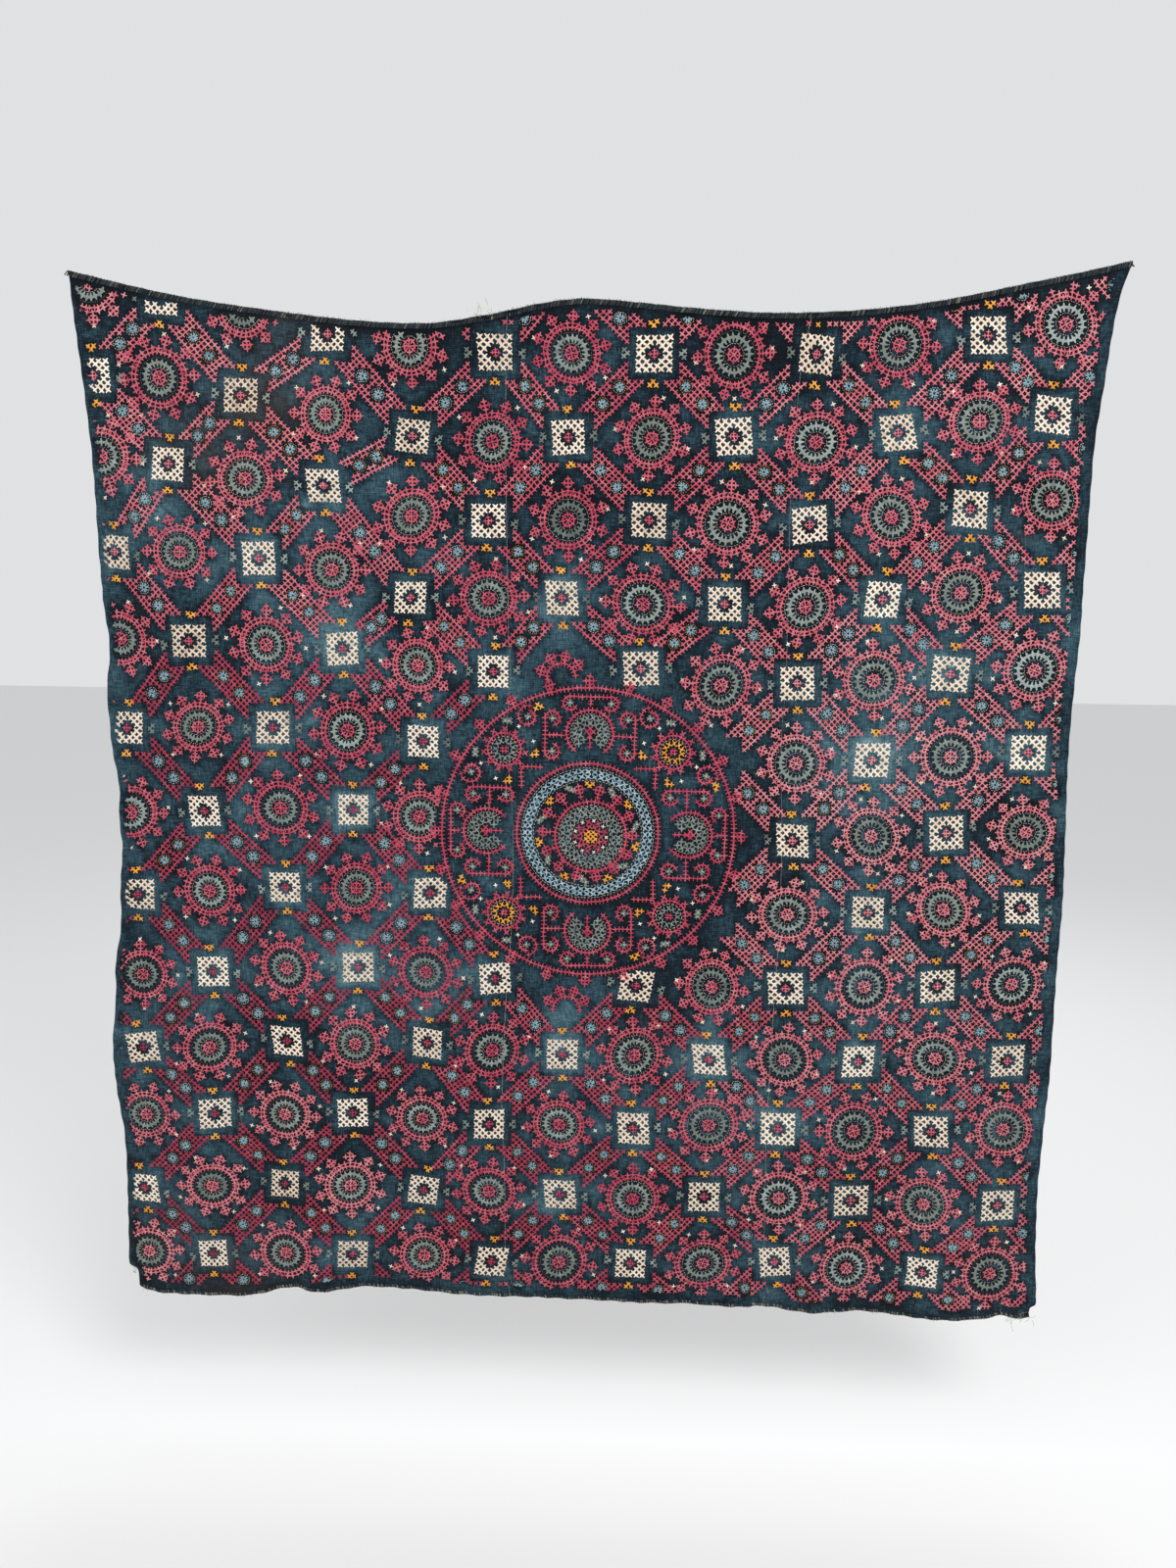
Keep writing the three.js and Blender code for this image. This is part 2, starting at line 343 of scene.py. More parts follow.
class Value:
    """A node's output that takes part in sums."""

    def __init__(self, finish, socket):
        self.finish = finish
        self.socket = socket

    def maths(self, operation, first, second):
        return self.finish.node("ShaderNodeMath", {"operation": operation}, {0: first, 1: second})

    def __add__(self, other):
        return self.maths("ADD", self, other)

    def __sub__(self, other):
        return self.maths("SUBTRACT", self, other)

    def __rsub__(self, other):
        return self.maths("SUBTRACT", other, self)

    def __mul__(self, other):
        return self.maths("MULTIPLY", self, other)

    __radd__ = __add__
    __rmul__ = __mul__


class Finish:
    """One material: its node tree and its main shader."""

    def __init__(self, name, **constants):
        self.material = bpy.data.materials.new(name)
        self.material.use_nodes = True
        self.tree = self.material.node_tree
        self.shader = self.tree.nodes["Principled BSDF"]
        for socket, value in constants.items():
            self.shader.inputs[socket.replace("_", " ")].default_value = value

    def feed(self, node, sockets):
        for key, value in sockets.items():
            if isinstance(value, Value):
                self.tree.links.new(value.socket, node.inputs[key])
            else:
                node.inputs[key].default_value = value

    def node(self, kind, settings=None, sockets=None, output=0):
        """Any node: its settings first, then the values or links of its sockets."""
        node = self.tree.nodes.new(kind)
        for key, value in (settings or {}).items():
            if key == "stops":
                while len(node.color_ramp.elements) < len(value):
                    node.color_ramp.elements.new(0.5)
                for element, (place, colour) in zip(node.color_ramp.elements, value):
                    element.position = place
                    element.color = (*colour, 1)
            else:
                setattr(node, key, value)
        self.feed(node, sockets or {})
        return Value(self, node.outputs[output])

    def number(self, name):
        """A number that each point of the mesh carries."""
        return self.node("ShaderNodeAttribute", {"attribute_name": name}, output="Fac")

    def place(self):
        return self.node("ShaderNodeTexCoord", output="Object")

    def noise(self, scale, detail=2.0):
        """Noise with its own scale along each axis, about zero."""
        spot = self.node("ShaderNodeMapping", None, {"Vector": self.place(), "Scale": scale})
        sockets = {"Vector": spot, "Scale": 1.0, "Detail": detail}
        return self.node("ShaderNodeTexNoise", None, sockets) - 0.5

    def ramp(self, share, tones):
        """Colours along a share, from rows of a place and a screen colour."""
        stops = [(place, linear(*colour)) for place, *colour in tones]
        return self.node("ShaderNodeValToRGB", {"stops": stops}, {"Fac": share})

    def blend(self, share, first, second):
        settings = {"data_type": "RGBA", "blend_type": "MIX"}
        return self.node("ShaderNodeMix", settings, {0: share, 6: first, 7: second}, output=2)

    def bump(self, height, strength, distance):
        sockets = {"Height": height, "Strength": strength, "Distance": distance}
        return self.node("ShaderNodeBump", None, sockets)


def linear(red, green, blue):
    """A colour given as screen values from 0 to 255."""
    screen = np.array([red, green, blue]) / 255
    return tuple(np.where(screen <= 0.04045, screen / 12.92, ((screen + 0.055) / 1.055) ** 2.4))


# Tones from deep to pale: place, red, green and blue
INDIGO = (
    (0.0, 2, 8, 15), (0.22, 12, 28, 38), (0.5, 44, 70, 81), (0.78, 82, 111, 119), (1.0, 134, 153, 157),
)
STAIN = (*linear(66, 52, 43), 1)


def indigo_cotton():
    """Hand-loomed plain weave: uneven yarns, worn pale in patches, stained in places, with painted shade
    among the stitches and under the top edge.
    """
    finish = Finish("indigo_cotton", Specular_IOR_Level=0.12, Sheen_Weight=0.04, Sheen_Roughness=0.6)
    warp = finish.noise((760, 1, 52), detail=3.0)
    weft = finish.noise((52, 1, 760), detail=3.0)
    slubs = finish.noise((210, 210, 210), detail=3.0)
    yarns = warp + weft
    # The number each point carries holds painted shade as well as fading
    worn = finish.number("fade") + yarns * 0.7 + slubs * 0.5
    colour = finish.ramp(worn, INDIGO)
    colour = finish.blend(finish.number("stain"), colour, STAIN)
    finish.feed(finish.shader, {
        "Base Color": colour,
        "Roughness": 0.9 + slubs * 0.2,
        "Normal": finish.bump(yarns + slubs * 0.5, strength=0.6, distance=0.0008),
    })
    return finish.material


def silk(name, tones):
    """Soft twisted silk: each stitch has its own tone, with paler and darker plies along it."""
    finish = Finish(name, Specular_IOR_Level=0.3, Sheen_Weight=0.08, Sheen_Roughness=0.45)
    plies = finish.noise((900, 900, 900))
    wear = finish.noise((38, 38, 38))
    share = finish.number("tone") + plies * 0.55 + wear * 0.35
    finish.feed(finish.shader, {
        "Base Color": finish.ramp(share, tones),
        "Roughness": 0.62 + plies * 0.25,
        "Normal": finish.bump(plies, strength=0.5, distance=0.0005),
    })
    return finish.material


# The yarns in the same way
YARNS = {
    "rose": ((0.0, 118, 24, 50), (0.3, 166, 48, 74), (0.6, 191, 91, 105), (1.0, 213, 142, 145)),
    "cream": ((0.0, 160, 136, 112), (0.4, 216, 194, 171), (1.0, 247, 234, 217)),
    "sage": ((0.0, 70, 78, 74), (0.5, 118, 126, 119), (1.0, 162, 174, 171)),
    "blue": ((0.0, 86, 106, 113), (0.5, 136, 162, 173), (1.0, 194, 210, 212)),
    "gold": ((0.0, 172, 98, 20), (0.5, 224, 150, 42), (1.0, 246, 198, 112)),
    "hem": ((0.0, 9, 15, 20), (0.4, 26, 38, 44), (0.7, 104, 102, 86), (1.0, 186, 178, 152)),
}

# Stitches

PITCH = 10.4
REACH = 0.4 * PITCH
BAR_MIDDLE = 1.1
BAR_TIP = 0.24
PLY_MIDDLE = 1.2
PLY_TIP = 0.36
SPIKE = 4.35
SPIKE_PITCH = 6.5
SPIKE_THREAD = 0.71
RING_SPIKE = 1.08
FULL_SPIKE = 1.06
DOUBLED_FROM = 0.7
RIDGE = (0.9, 1.4)
SUNK = -0.3
DASH_TIP = 0.6
DASH_HALF = 1.0
DASH_RIDGE = 1.1
# Reach of a stitch as a share of the step from one to the next
RING_REACH = 0.47
DASH_REACH = 0.31
GRID_SPIKE = 0.2


def chart_places(rows):
    """Places of the marks of a chart, in its squares from the middle."""
    marks = [(i, j) for j, row in enumerate(rows) for i, mark in enumerate(row) if mark == "x"]
    i, j = np.array(marks, float).T
    return i - (len(rows[0]) - 1) / 2, (len(rows) - 1) / 2 - j


def around(radius, angle, x=0.0, z=0.0):
    return x + radius * np.cos(angle), z + radius * np.sin(angle)


def arc(radius, count, x=0.0, z=0.0, start=0.0, sweep=FULL_TURN):
    """Even places round an arc: their angles, the step between them and the points."""
    gaps = count if abs(sweep) >= FULL_TURN else count - 1
    angle = start + sweep * np.arange(count) / gaps
    return angle, radius * abs(sweep) / gaps, around(radius, angle, x, z)


# Columns of a stitch: place, turn, half its width and height, its thread's thickness and its tone
X, Z, TURN, WIDE, HIGH, THREAD, TONE = range(7)


class Stitches:
    """Cross stitches and laid dashes, gathered by yarn. A dash is a stitch with no height."""

    def __init__(self):
        self.rows = {}

    def add(self, yarn, x, z, turn=0.0, wide=REACH, high=REACH, thread=1.0, tone=0.0):
        rows = np.atleast_2d(stacked(x, z, turn, wide, high, thread, tone).astype(float))
        self.rows.setdefault(yarn, []).append(rows)

    def chart(self, yarn, rows, pitch, x=0.0, z=0.0, size=None):
        """Crosses on a chart whose squares are half a pitch wide, centred on a point."""
        across, up = chart_places(rows)
        size = size or pitch / PITCH
        self.add(yarn, x + across * pitch / 2, z + up * pitch / 2, 0, REACH * size, REACH * size, size)

    def ring(self, yarn, radius, count, high, x=0.0, z=0.0, start=0.0, sweep=FULL_TURN, thread=None):
        """Crosses round an arc, with their arms meeting along it."""
        angle, step, place = arc(radius, count, x, z, start, sweep)
        self.add(yarn, *place, angle - math.pi / 2, RING_REACH * step, high, thread or step / PITCH)

    def spikes(self, yarn, x, z, way, size=1.0, thread=None):
        """Upright crosses linked along their way, with a barb to either side of each."""
        half = size * SPIKE / math.sqrt(2)
        self.add(yarn, x, z, way + math.pi / 4, half, half, thread or size * SPIKE_THREAD)

    def spiked_ring(self, yarn, radius, x=0.0, z=0.0, start=0.0, sweep=FULL_TURN):
        count = round(radius * abs(sweep) / SPIKE_PITCH) + 1
        angle, _, place = arc(radius, count, x, z, start, sweep)
        self.spikes(yarn, *place, angle - math.pi / 2, RING_SPIKE)

    def grid(self, yarn, rows, step, x=0.0, z=0.0):
        """Upright crosses on a plain chart, linked along its rows and columns."""
        across, up = chart_places(rows)
        self.spikes(yarn, x + across * step, z + up * step, 0.0, GRID_SPIKE * step)

    def stars(self, yarn, radius, count, reach, x=0.0, z=0.0, start=0.0):
        """Single crosses spaced out round a circle."""
        angle, _, place = arc(radius, count, x, z, start)
        self.add(yarn, *place, angle, reach, reach, reach / REACH)

    def dashes(self, yarn, radius, count, x=0.0, z=0.0, start=0.0, sweep=FULL_TURN, thread=0.6):
        """Short laid stitches round an arc."""
        angle = start + sweep * (np.arange(count) + 0.5) / count
        half = DASH_REACH * radius * abs(sweep) / count
        self.add(yarn, *around(radius, angle, x, z), angle - math.pi / 2, half, 0.0, thread)

    def line(self, yarn, start, end):
        """A straight row of spikes."""
        run = np.subtract(end, start)
        count = max(2, round(math.hypot(*run) / SPIKE_PITCH) + 1)
        share = np.linspace(0, 1, count)
        place = (start[0] + run[0] * share, start[1] + run[1] * share)
        self.spikes(yarn, *place, math.atan2(run[1], run[0]))

    def take(self, motif, x=0.0, z=0.0, turn=0.0, scale=1.0, stretch=1.0, skew=0.0, tones=None):
        """Adds another set of stitches, turned, scaled, stretched along its first axis and skewed."""
        c, s = math.cos(turn), math.sin(turn)
        for yarn, parts in motif.rows.items():
            rows = np.concatenate(parts)
            across, up = rows[:, X] * scale * stretch, rows[:, Z] * scale
            across, up = across + skew * up, up + 0.5 * skew * across
            rows[:, X], rows[:, Z] = x + c * across - s * up, z + s * across + c * up
            rows[:, TURN] += turn
            rows[:, [WIDE, HIGH, THREAD]] *= scale
            rows[:, TONE] += (tones or {}).get(yarn, 0.0)
            self.rows.setdefault(yarn, []).append(rows)

    def thin(self, yarn, share, longer):
        """Makes the stitches of one yarn finer and their arms longer."""
        for rows in self.rows[yarn]:
            rows[:, [WIDE, HIGH]] *= longer
            rows[:, THREAD] *= share

    def keep(self, test):
        """Leaves out the stitches whose places fail a test."""
        for yarn, parts in self.rows.items():
            rows = np.concatenate(parts)
            self.rows[yarn] = [rows[test(rows[:, X], rows[:, Z])]]


# Motifs of the repeat

SQUARE_CHART = (
    "x.x.x.x.x",
    ".x.x.x.x.",
    "x.x...x.x",
    ".x.....x.",
    "x.......x",
    ".x.....x.",
    "x.x...x.x",
    ".x.x.x.x.",
    "x.x.x.x.x",
)
HEART_CHART = (
    ".x.x.",
    "x.x.x",
    ".x.x.",
    "x.x.x",
    ".x.x.",
)
FLOWER_CHART = (
    ".x.",
    "x.x",
    ".x.",
)
SPRIG_CHART = (
    "x.x",
    ".x.",
)
CLUSTER_CHART = (
    ".x.",
    "xxx",
    ".x.",
)
CLUSTER_STEP = 5.7
SQUARE_PITCH = 11.0
BAR_STEP = 6.8
BAR_ROWS = 6
BAR_EYELET = 17.5
FORK_DEPTH = 16
FORK_SHARE = 0.18
EYELET_SHARE = 0.2
EYELET_CLEAR = 12.0
GOLD_EYELETS = 0.4
PETALS = {"radius": 4.3, "count": 8, "high": 3.2, "thread": 0.66}
PETAL_DASHES = {"radius": 9.2, "count": 16, "thread": 0.42}
SPRIG_FROM_SQUARE = 42
LEAF_FROM_SQUARE = 41


def cream_square():
    """A square of cream crosses with a rose flower, and sprigs pointing at its four sides."""
    motif = Stitches()
    motif.chart("cream", SQUARE_CHART, SQUARE_PITCH, size=1.04)
    motif.grid("rose", CLUSTER_CHART, step=4.6)
    for k, yarn in enumerate(("gold", "sage", "gold", "sage")):
        sprig = Stitches()
        away = SPRIG_FROM_SQUARE if yarn == "gold" else LEAF_FROM_SQUARE
        sprig.chart(yarn, SPRIG_CHART, pitch=8.8, z=away)
        motif.take(sprig, turn=k * math.pi / 2 + hand.normal(0, 0.06))
    return motif


def eyelet(motif, x, z, ring_yarn):
    """A ring of pale blue petals in a dashed ring."""
    spot = {"x": x, "z": z, "start": hand.uniform(0, 1)}
    motif.ring("blue", **PETALS, **spot)
    motif.dashes(ring_yarn, **PETAL_DASHES, **spot)


def rose_bar(length):
    """A bar of upright crosses with forked ends and two eyelets."""
    motif = Stitches()
    columns = np.linspace(-length / 2, length / 2, round(length / BAR_STEP) + 1)
    levels = BAR_STEP * (np.arange(BAR_ROWS) - (BAR_ROWS - 1) / 2)
    x, z = (v.ravel() for v in np.meshgrid(columns, levels))
    forked = np.abs(z) > min(FORK_DEPTH, FORK_SHARE * length) - length / 2 + np.abs(x)
    apart = min(BAR_EYELET, EYELET_SHARE * length)
    keep = forked & (np.hypot(np.abs(x) - apart, z) > EYELET_CLEAR)
    motif.spikes("rose", x[keep], z[keep], 0.0, FULL_SPIKE)
    ring_yarn = "gold" if hand.uniform() < GOLD_EYELETS else "cream"
    eyelet(motif, -apart, 0, ring_yarn)
    eyelet(motif, apart, 0, ring_yarn)
    return motif


# A wheel's circles, from its heart to its rim
WHEEL_POINTS = 10
WHEEL_HEART = 8.2
INNER_DASHES = 14.0
SAGE_RING = 21.5
SAGE_TEETH = 20
OUTER_DASHES = 29.3
WHEEL_RIM = 29.0
RIM_GAP = 6.2
BANDED_RIM_GAP = 7.4
TOOTH_ASIDE = 0.17
TOOTH_SPIKE = 1.15
SAGE_SPIKE = 1.42
HEART_SPIKE = 1.2
WHEEL_STARS = 61
WHEEL_STAR = {"wide": 2.9, "high": 2.9, "thread": 0.72, "tone": -0.05}


def clusters(motif, count, radius, start=0.0):
    """Five upright crosses each, on a neck that stands on a ring."""
    for k in range(count):
        point = Stitches()
        point.grid("rose", CLUSTER_CHART, CLUSTER_STEP, 0, radius + 3 * CLUSTER_STEP)
        point.spikes("rose", 0, radius + CLUSTER_STEP, 0.0)
        motif.take(point, turn=start + FULL_TURN * k / count)


def wheel(banded, breadth):
    """A wheel: rose heart, sage ring between dashed rings, rose rim with pointed clusters."""
    motif = Stitches()
    rim = WHEEL_RIM * breadth + (BANDED_RIM_GAP if banded else RIM_GAP)
    angle, _, place = arc(WHEEL_HEART, 8)
    motif.spikes("rose", *place, angle, FULL_SPIKE)
    motif.spikes("rose", 0, 0, 0.0, HEART_SPIKE)
    motif.dashes("cream", INNER_DASHES * breadth, 25, thread=0.34)
    angle, _, place = arc(SAGE_RING * breadth, SAGE_TEETH)
    motif.spikes("sage", *place, angle - math.pi / 2, SAGE_SPIKE * breadth, thread=1.2)
    motif.dashes("sage", SAGE_RING * breadth, SAGE_TEETH, thread=1.6)
    motif.dashes("sage" if banded else "cream", OUTER_DASHES * breadth, 50, thread=0.36)
    motif.spiked_ring("rose", rim)
    clusters(motif, WHEEL_POINTS, rim, math.pi / WHEEL_POINTS)
    steps = np.arange(WHEEL_POINTS)
    steps = np.concatenate([steps - TOOTH_ASIDE, steps + TOOTH_ASIDE])
    tooth = FULL_TURN * steps / WHEEL_POINTS + math.pi / 2
    motif.spikes("rose", *around(rim + CLUSTER_STEP, tooth), tooth, TOOTH_SPIKE)
    for k in range(4):
        star = math.pi * (0.5 * k + 0.25) + hand.uniform(-0.3, 0.3)
        motif.add("cream", *around(WHEEL_STARS, star), star, **WHEEL_STAR)
    return motif


# The medallion, from its heart outward

MEDALLION = (18, -801)
HEART_SHIFT = (5, -5)
CLEAR_OF_MEDALLION = 241
SQUARE_CLEAR = 250
WHEEL_CLEAR = 253
BAR_CLEAR_OF_MEDALLION = 256
ARCH = 160
CORNER_WHEEL = 187
OUTER_RING = 231
OUTER_POINTS = 24
HEART_POINTS = 14
HEART_TURN = 0.2
MEDALLION_SPRIG = 8.4
MEDALLION_STAR = {"wide": 2.6, "high": 2.6, "thread": 0.64, "tone": 0.2}
FANS = ((-44, 246, 0.17), (-30, -292, 0.0))


def dot(motif, x, z):
    """A small sage flower with a cream eye."""
    motif.chart("sage", FLOWER_CHART, 6.8, x, z, size=0.6)
    motif.add("cream", x, z, wide=1.6, high=1.6, thread=0.36)


def medallion_heart():
    """Rings round a gold heart, with sprigs and dots in turn, out to a double blue ring."""
    heart = Stitches()
    heart.chart("gold", HEART_CHART, 7.6)
    heart.ring("rose", 16.0, 11, 3.6, thread=0.75)
    heart.stars("rose", 23.8, 9, 3.6, start=0.35)
    heart.stars("cream", 25.8, 9, 2.6)
    heart.dashes("cream", 31.0, 26, thread=0.45)
    heart.ring("sage", 36.2, 24, 4.4, thread=0.84)
    heart.ring("sage", 44.8, 29, 4.4, thread=0.84)
    heart.dashes("cream", 50.4, 46, thread=0.46)
    heart.spiked_ring("rose", 56.5)
    motif = Stitches()
    motif.take(heart, *HEART_SHIFT)
    clusters(motif, HEART_POINTS, 54, HEART_TURN)
    for k in range(HEART_POINTS):
        between = Stitches()
        if k % 2:
            between.chart("gold", SPRIG_CHART, MEDALLION_SPRIG, 0, 78)
        else:
            dot(between, 0, 79)
            dot(between, 6, 74)
        motif.take(between, turn=FULL_TURN * (k + 0.5) / HEART_POINTS + HEART_TURN)
    motif.dashes("cream", 85.4, 100, thread=0.42)
    motif.ring("blue", 91.2, 56, 3.9, thread=0.78)
    motif.ring("blue", 98.8, 60, 3.9, thread=0.78)
    motif.dashes("cream", 104.8, 124, thread=0.42)
    motif.spiked_ring("rose", 112)
    return motif


def bracket(motif, far, half, curl_radius, reach_back):
    """A stem with a bar across its end, both ends of the bar curling back round a dot."""
    motif.line("rose", (0, 45), (0, far))
    motif.line("rose", (-half, far), (half, far))
    for side in (-1, 1):
        spot = (side * half, far - curl_radius)
        motif.spiked_ring("rose", curl_radius, *spot, math.pi / 2, -side * reach_back)
        dot(motif, *spot)


def arch():
    """A horseshoe open towards the heart, with a small tree in it and brackets on three sides."""
    motif = Stitches()
    opened, sweep = math.radians(-46), math.radians(272)
    motif.ring("sage", 15.2, 9, 4.4, 0, 0, opened, sweep, 0.86)
    motif.ring("sage", 24.0, 14, 4.4, 0, 0, opened, sweep, 0.86)
    motif.dashes("cream", 29.8, 27, 0, 0, opened, sweep, 0.46)
    motif.spiked_ring("rose", 36.4, 0, 0, opened, sweep)
    motif.line("rose", (0, -22), (0, 0))
    motif.chart("rose", FLOWER_CHART, 10.0, 0, 2, size=0.8)
    bracket(motif, far=57, half=32, curl_radius=10.5, reach_back=4.0)
    for side in (-1, 1):
        part = Stitches()
        bracket(part, far=70, half=26, curl_radius=11.0, reach_back=4.2)
        motif.take(part, 0, -4, side * math.pi / 2)
    return motif


def curl():
    """A spiral of linked crosses round a dot."""
    motif = Stitches()
    turn = 1.9 * math.pi * np.linspace(0, 1, 13)
    radius = np.linspace(17.0, 9.5, 13)
    motif.spikes("rose", *around(radius, turn), turn - math.pi / 2)
    dot(motif, 0, 0)
    return motif


def corner_wheel(ring_yarn):
    """A small wheel between two arches, with a curl, dots and stars on either side."""
    motif = Stitches()
    motif.chart("rose", FLOWER_CHART, 7.0, 0, CORNER_WHEEL)
    motif.ring(ring_yarn, 14.0, 11, 4.9, 0, CORNER_WHEEL, thread=0.66)
    motif.dashes("cream", 20.4, 18, 0, CORNER_WHEEL, thread=0.46)
    motif.spiked_ring("rose", 26.0, 0, CORNER_WHEEL)
    motif.stars("rose", 32.6, 11, 3.4, 0, CORNER_WHEEL, 0.2)
    for side in (-1, 1):
        motif.line("rose", (side * 21, 128), (side * 2, 147))
        motif.chart("gold", SPRIG_CHART, MEDALLION_SPRIG, side * 30, CORNER_WHEEL - 39)
        motif.take(curl(), side * 63, CORNER_WHEEL + 11, math.pi * (0.5 - 0.5 * side) + side * 0.6)
        dot(motif, side * 33, CORNER_WHEEL + 31)
        dot(motif, side * 38, CORNER_WHEEL + 27)
        for up, turn in ((-23, 0.3), (10, 0.1)):
            motif.add("cream", side * 42, CORNER_WHEEL + up, turn, **MEDALLION_STAR)
    return motif


def fan():
    """Half a ring of crosses with points round its outside."""
    motif = Stitches()
    motif.spiked_ring("rose", 22, 0, 0, 0, math.pi)
    for k in range(4):
        point = Stitches()
        point.grid("rose", CLUSTER_CHART, step=5.8, z=33)
        motif.take(point, turn=(k - 1.5) * 0.72)
    return motif


def medallion():
    """Heart, four arches, four corner wheels and the spiked outer ring."""
    motif = medallion_heart()
    for k in range(4):
        side = Stitches()
        side.take(arch(), 0, ARCH)
        motif.take(side, turn=k * math.pi / 2 + hand.normal(0, 0.01))
        motif.take(corner_wheel(("gold", "sage")[k % 2]), turn=(k - 0.5) * math.pi / 2)
        sprig = Stitches()
        sprig.chart("gold", SPRIG_CHART, pitch=8.6, z=-216)
        motif.take(sprig, turn=(k + 0.24) * math.pi / 2)
    for x, z, turn in FANS:
        motif.take(fan(), x, z, turn)
    motif.spiked_ring("rose", OUTER_RING)
    clusters(motif, OUTER_POINTS, OUTER_RING - 6)
    motif.thin("rose", share=0.95, longer=1.18)
    return motif


# The repeat over the whole cloth

COLUMN_X = (-832, -714, -606, -485, -370, -250, -136, -20, 101, 221, 342, 464, 584, 702, 820)
FIRST_COLUMN = -1
LAST_ROW = 12
LAST_ROW_Z = -1537
ROW_PITCH = table(
    "x pitch",
    (-850, 128), (-620, 128.5), (-390, 126), (-200, 122.6), (350, 122.2), (580, 124.4), (820, 126.5),
)
# Where the embroiderer's rows wander, and how far
DRIFTS = table(
    "x z reach right up",
    (-590, -80, 240, -28, -4), (-420, -260, 180, -10, 0), (-470, -960, 280, 21, 0),
    (-740, -1020, 200, 0, -26), (-700, -240, 170, 0, 20), (-240, -760, 240, 6, 21),
    (-270, -170, 160, 0, -16), (-400, -480, 140, 0, 10), (620, -60, 160, 9, 0),
    (230, -170, 200, 9, 0), (560, -560, 180, -11, 0), (-640, -1200, 160, 0, -8),
    (-394, -280, 90, -6, 20), (98, -540, 70, -4, 20), (-240, -780, 70, -16, 2),
    (-740, -1430, 90, -12, -20), (-595, -1300, 90, 13, 0), (-650, -720, 110, 0, -14),
    (-263, -440, 80, -11, -13), (-235, -1155, 100, 3, 12), (698, -155, 90, -11, 2),
    (340, -1520, 110, 0, 9), (340, -1290, 80, -8, 5), (-30, -430, 80, -10, 8), (-129, -75, 90, 9, 0),
    (-375, -25, 80, 4, -14), (-730, -25, 55, -6, 26),
)
SITE_UNEVEN = 2.0
MARGINS = (10, 17, 15, 20)
BAR_CLEAR = 40.5
CLEAR_OF_TEAR = 0.05
# Share of wheels whose outer dashes are sage
BANDED_LOWER_LEFT = 0.6
BANDED_ELSEWHERE = 0.15
# Motifs grow a little from the left part of the cloth to the right
GROW_FROM = -250
GROW_OVER = 500
MOTIF_TONE_UNEVEN = 0.05

# Rose tones by place: bars crimson at the left, wheels pale at the lower left, both pale at the right
BAR_TONES = table(
    "x z tone",
    (-450, -250, 0.68), (-520, -800, 0.2), (-250, -850, 0.34), (-450, -1400, 0.22), (0, -250, 0.46),
    (0, -1350, 0.32), (450, -250, 0.68), (560, -750, 0.8), (500, -1350, 0.6),
)
WHEEL_TONES = table(
    "x z tone",
    (-450, -250, 0.62), (-480, -800, 0.46), (-250, -850, 0.38), (-520, -1350, 0.72), (0, -250, 0.42),
    (0, -1350, 0.46), (450, -250, 0.6), (560, -750, 0.8), (500, -1350, 0.7),
)
TONE_REACH = 260
YARN_TONES = {"cream": 0.6, "sage": 0.46, "blue": 0.3, "gold": 0.5}
UNEVEN_TONES = {"cream": (0.56, 0.1), "sage": (0.46, 0.11)}
MEDALLION_TONES = YARN_TONES | {"rose": 0.37, "blue": 0.55}
RED_KNOTS = ((-216, -228), (-211, -232), (507, -83), (511, -86))
RED_KNOT = {"turn": 0.4, "wide": 2.4, "high": 2.4, "thread": 0.6}


def tone_at(rows, x, z):
    """Blends the tones of the nearest named places."""
    weight = np.exp(-((rows["x"] - x) ** 2 + (rows["z"] - z) ** 2) / TONE_REACH**2) + 1e-9
    return float((weight * rows["tone"]).sum() / weight.sum())


def site(i, j):
    """Middle of a motif of the repeat, by its column and row."""
    x = COLUMN_X[i - FIRST_COLUMN]
    pitch = follow(ROW_PITCH, np.array(float(x)))
    z = LAST_ROW_Z + (LAST_ROW - j) * float(pitch)
    pull = np.exp(-((x - DRIFTS["x"]) ** 2 + (z - DRIFTS["z"]) ** 2) / DRIFTS["reach"] ** 2)
    shift = np.random.default_rng((i + 5) * 100 + j + 5).normal(0, SITE_UNEVEN, 2)
    return x + (pull * DRIFTS["right"]).sum() + shift[0], z + (pull * DRIFTS["up"]).sum() + shift[1]


def from_medallion(x, z):
    return np.hypot(x - MEDALLION[0], z - MEDALLION[1])


def off_medallion(x, z):
    return from_medallion(x, z) > CLEAR_OF_MEDALLION


def on_cloth(x, z):
    """True inside the plain margin that runs along the hems, and off the tear."""
    inside = torn(x, z) < CLEAR_OF_TEAR
    for distance, margin in zip(edge_distances(x, z), MARGINS):
        inside &= distance > margin
    return inside


def rightward(left, right, x):
    """A size that changes from the left part of the cloth to the right."""
    return mix(left, right, float(ease((x - GROW_FROM) / GROW_OVER)))


def uneven_form(size, scale, stretch, skew):
    """Chance changes to the form of one motif, by how far each may go."""
    return {
        "scale": size * hand.normal(1.0, scale),
        "stretch": hand.normal(1.0, stretch),
        "skew": hand.normal(0, skew),
    }


def add_wheel(panel, x, z, tones):
    if from_medallion(x, z) < WHEEL_CLEAR:
        return
    lower_left = z < -900 and x < 100
    banded = hand.uniform() < (BANDED_LOWER_LEFT if lower_left else BANDED_ELSEWHERE)
    tones["rose"] = tone_at(WHEEL_TONES, x, z) + hand.normal(0, MOTIF_TONE_UNEVEN)
    motif = wheel(banded, rightward(0.97, 1.12, x))
    turn = hand.uniform(0, 6.28)
    panel.take(motif, x, z, turn, tones=tones, **uneven_form(1.0, scale=0.022, stretch=0.035, skew=0.03))


def add_square(panel, x, z, tones):
    if from_medallion(x, z) < SQUARE_CLEAR:
        return
    tones["rose"] = tone_at(BAR_TONES, x, z)
    size = rightward(0.94, 1.0, x)
    motif = cream_square()
    turn = hand.normal(0, 0.05)
    panel.take(motif, x, z, turn, tones=tones, **uneven_form(size, scale=0.02, stretch=0.03, skew=0.05))


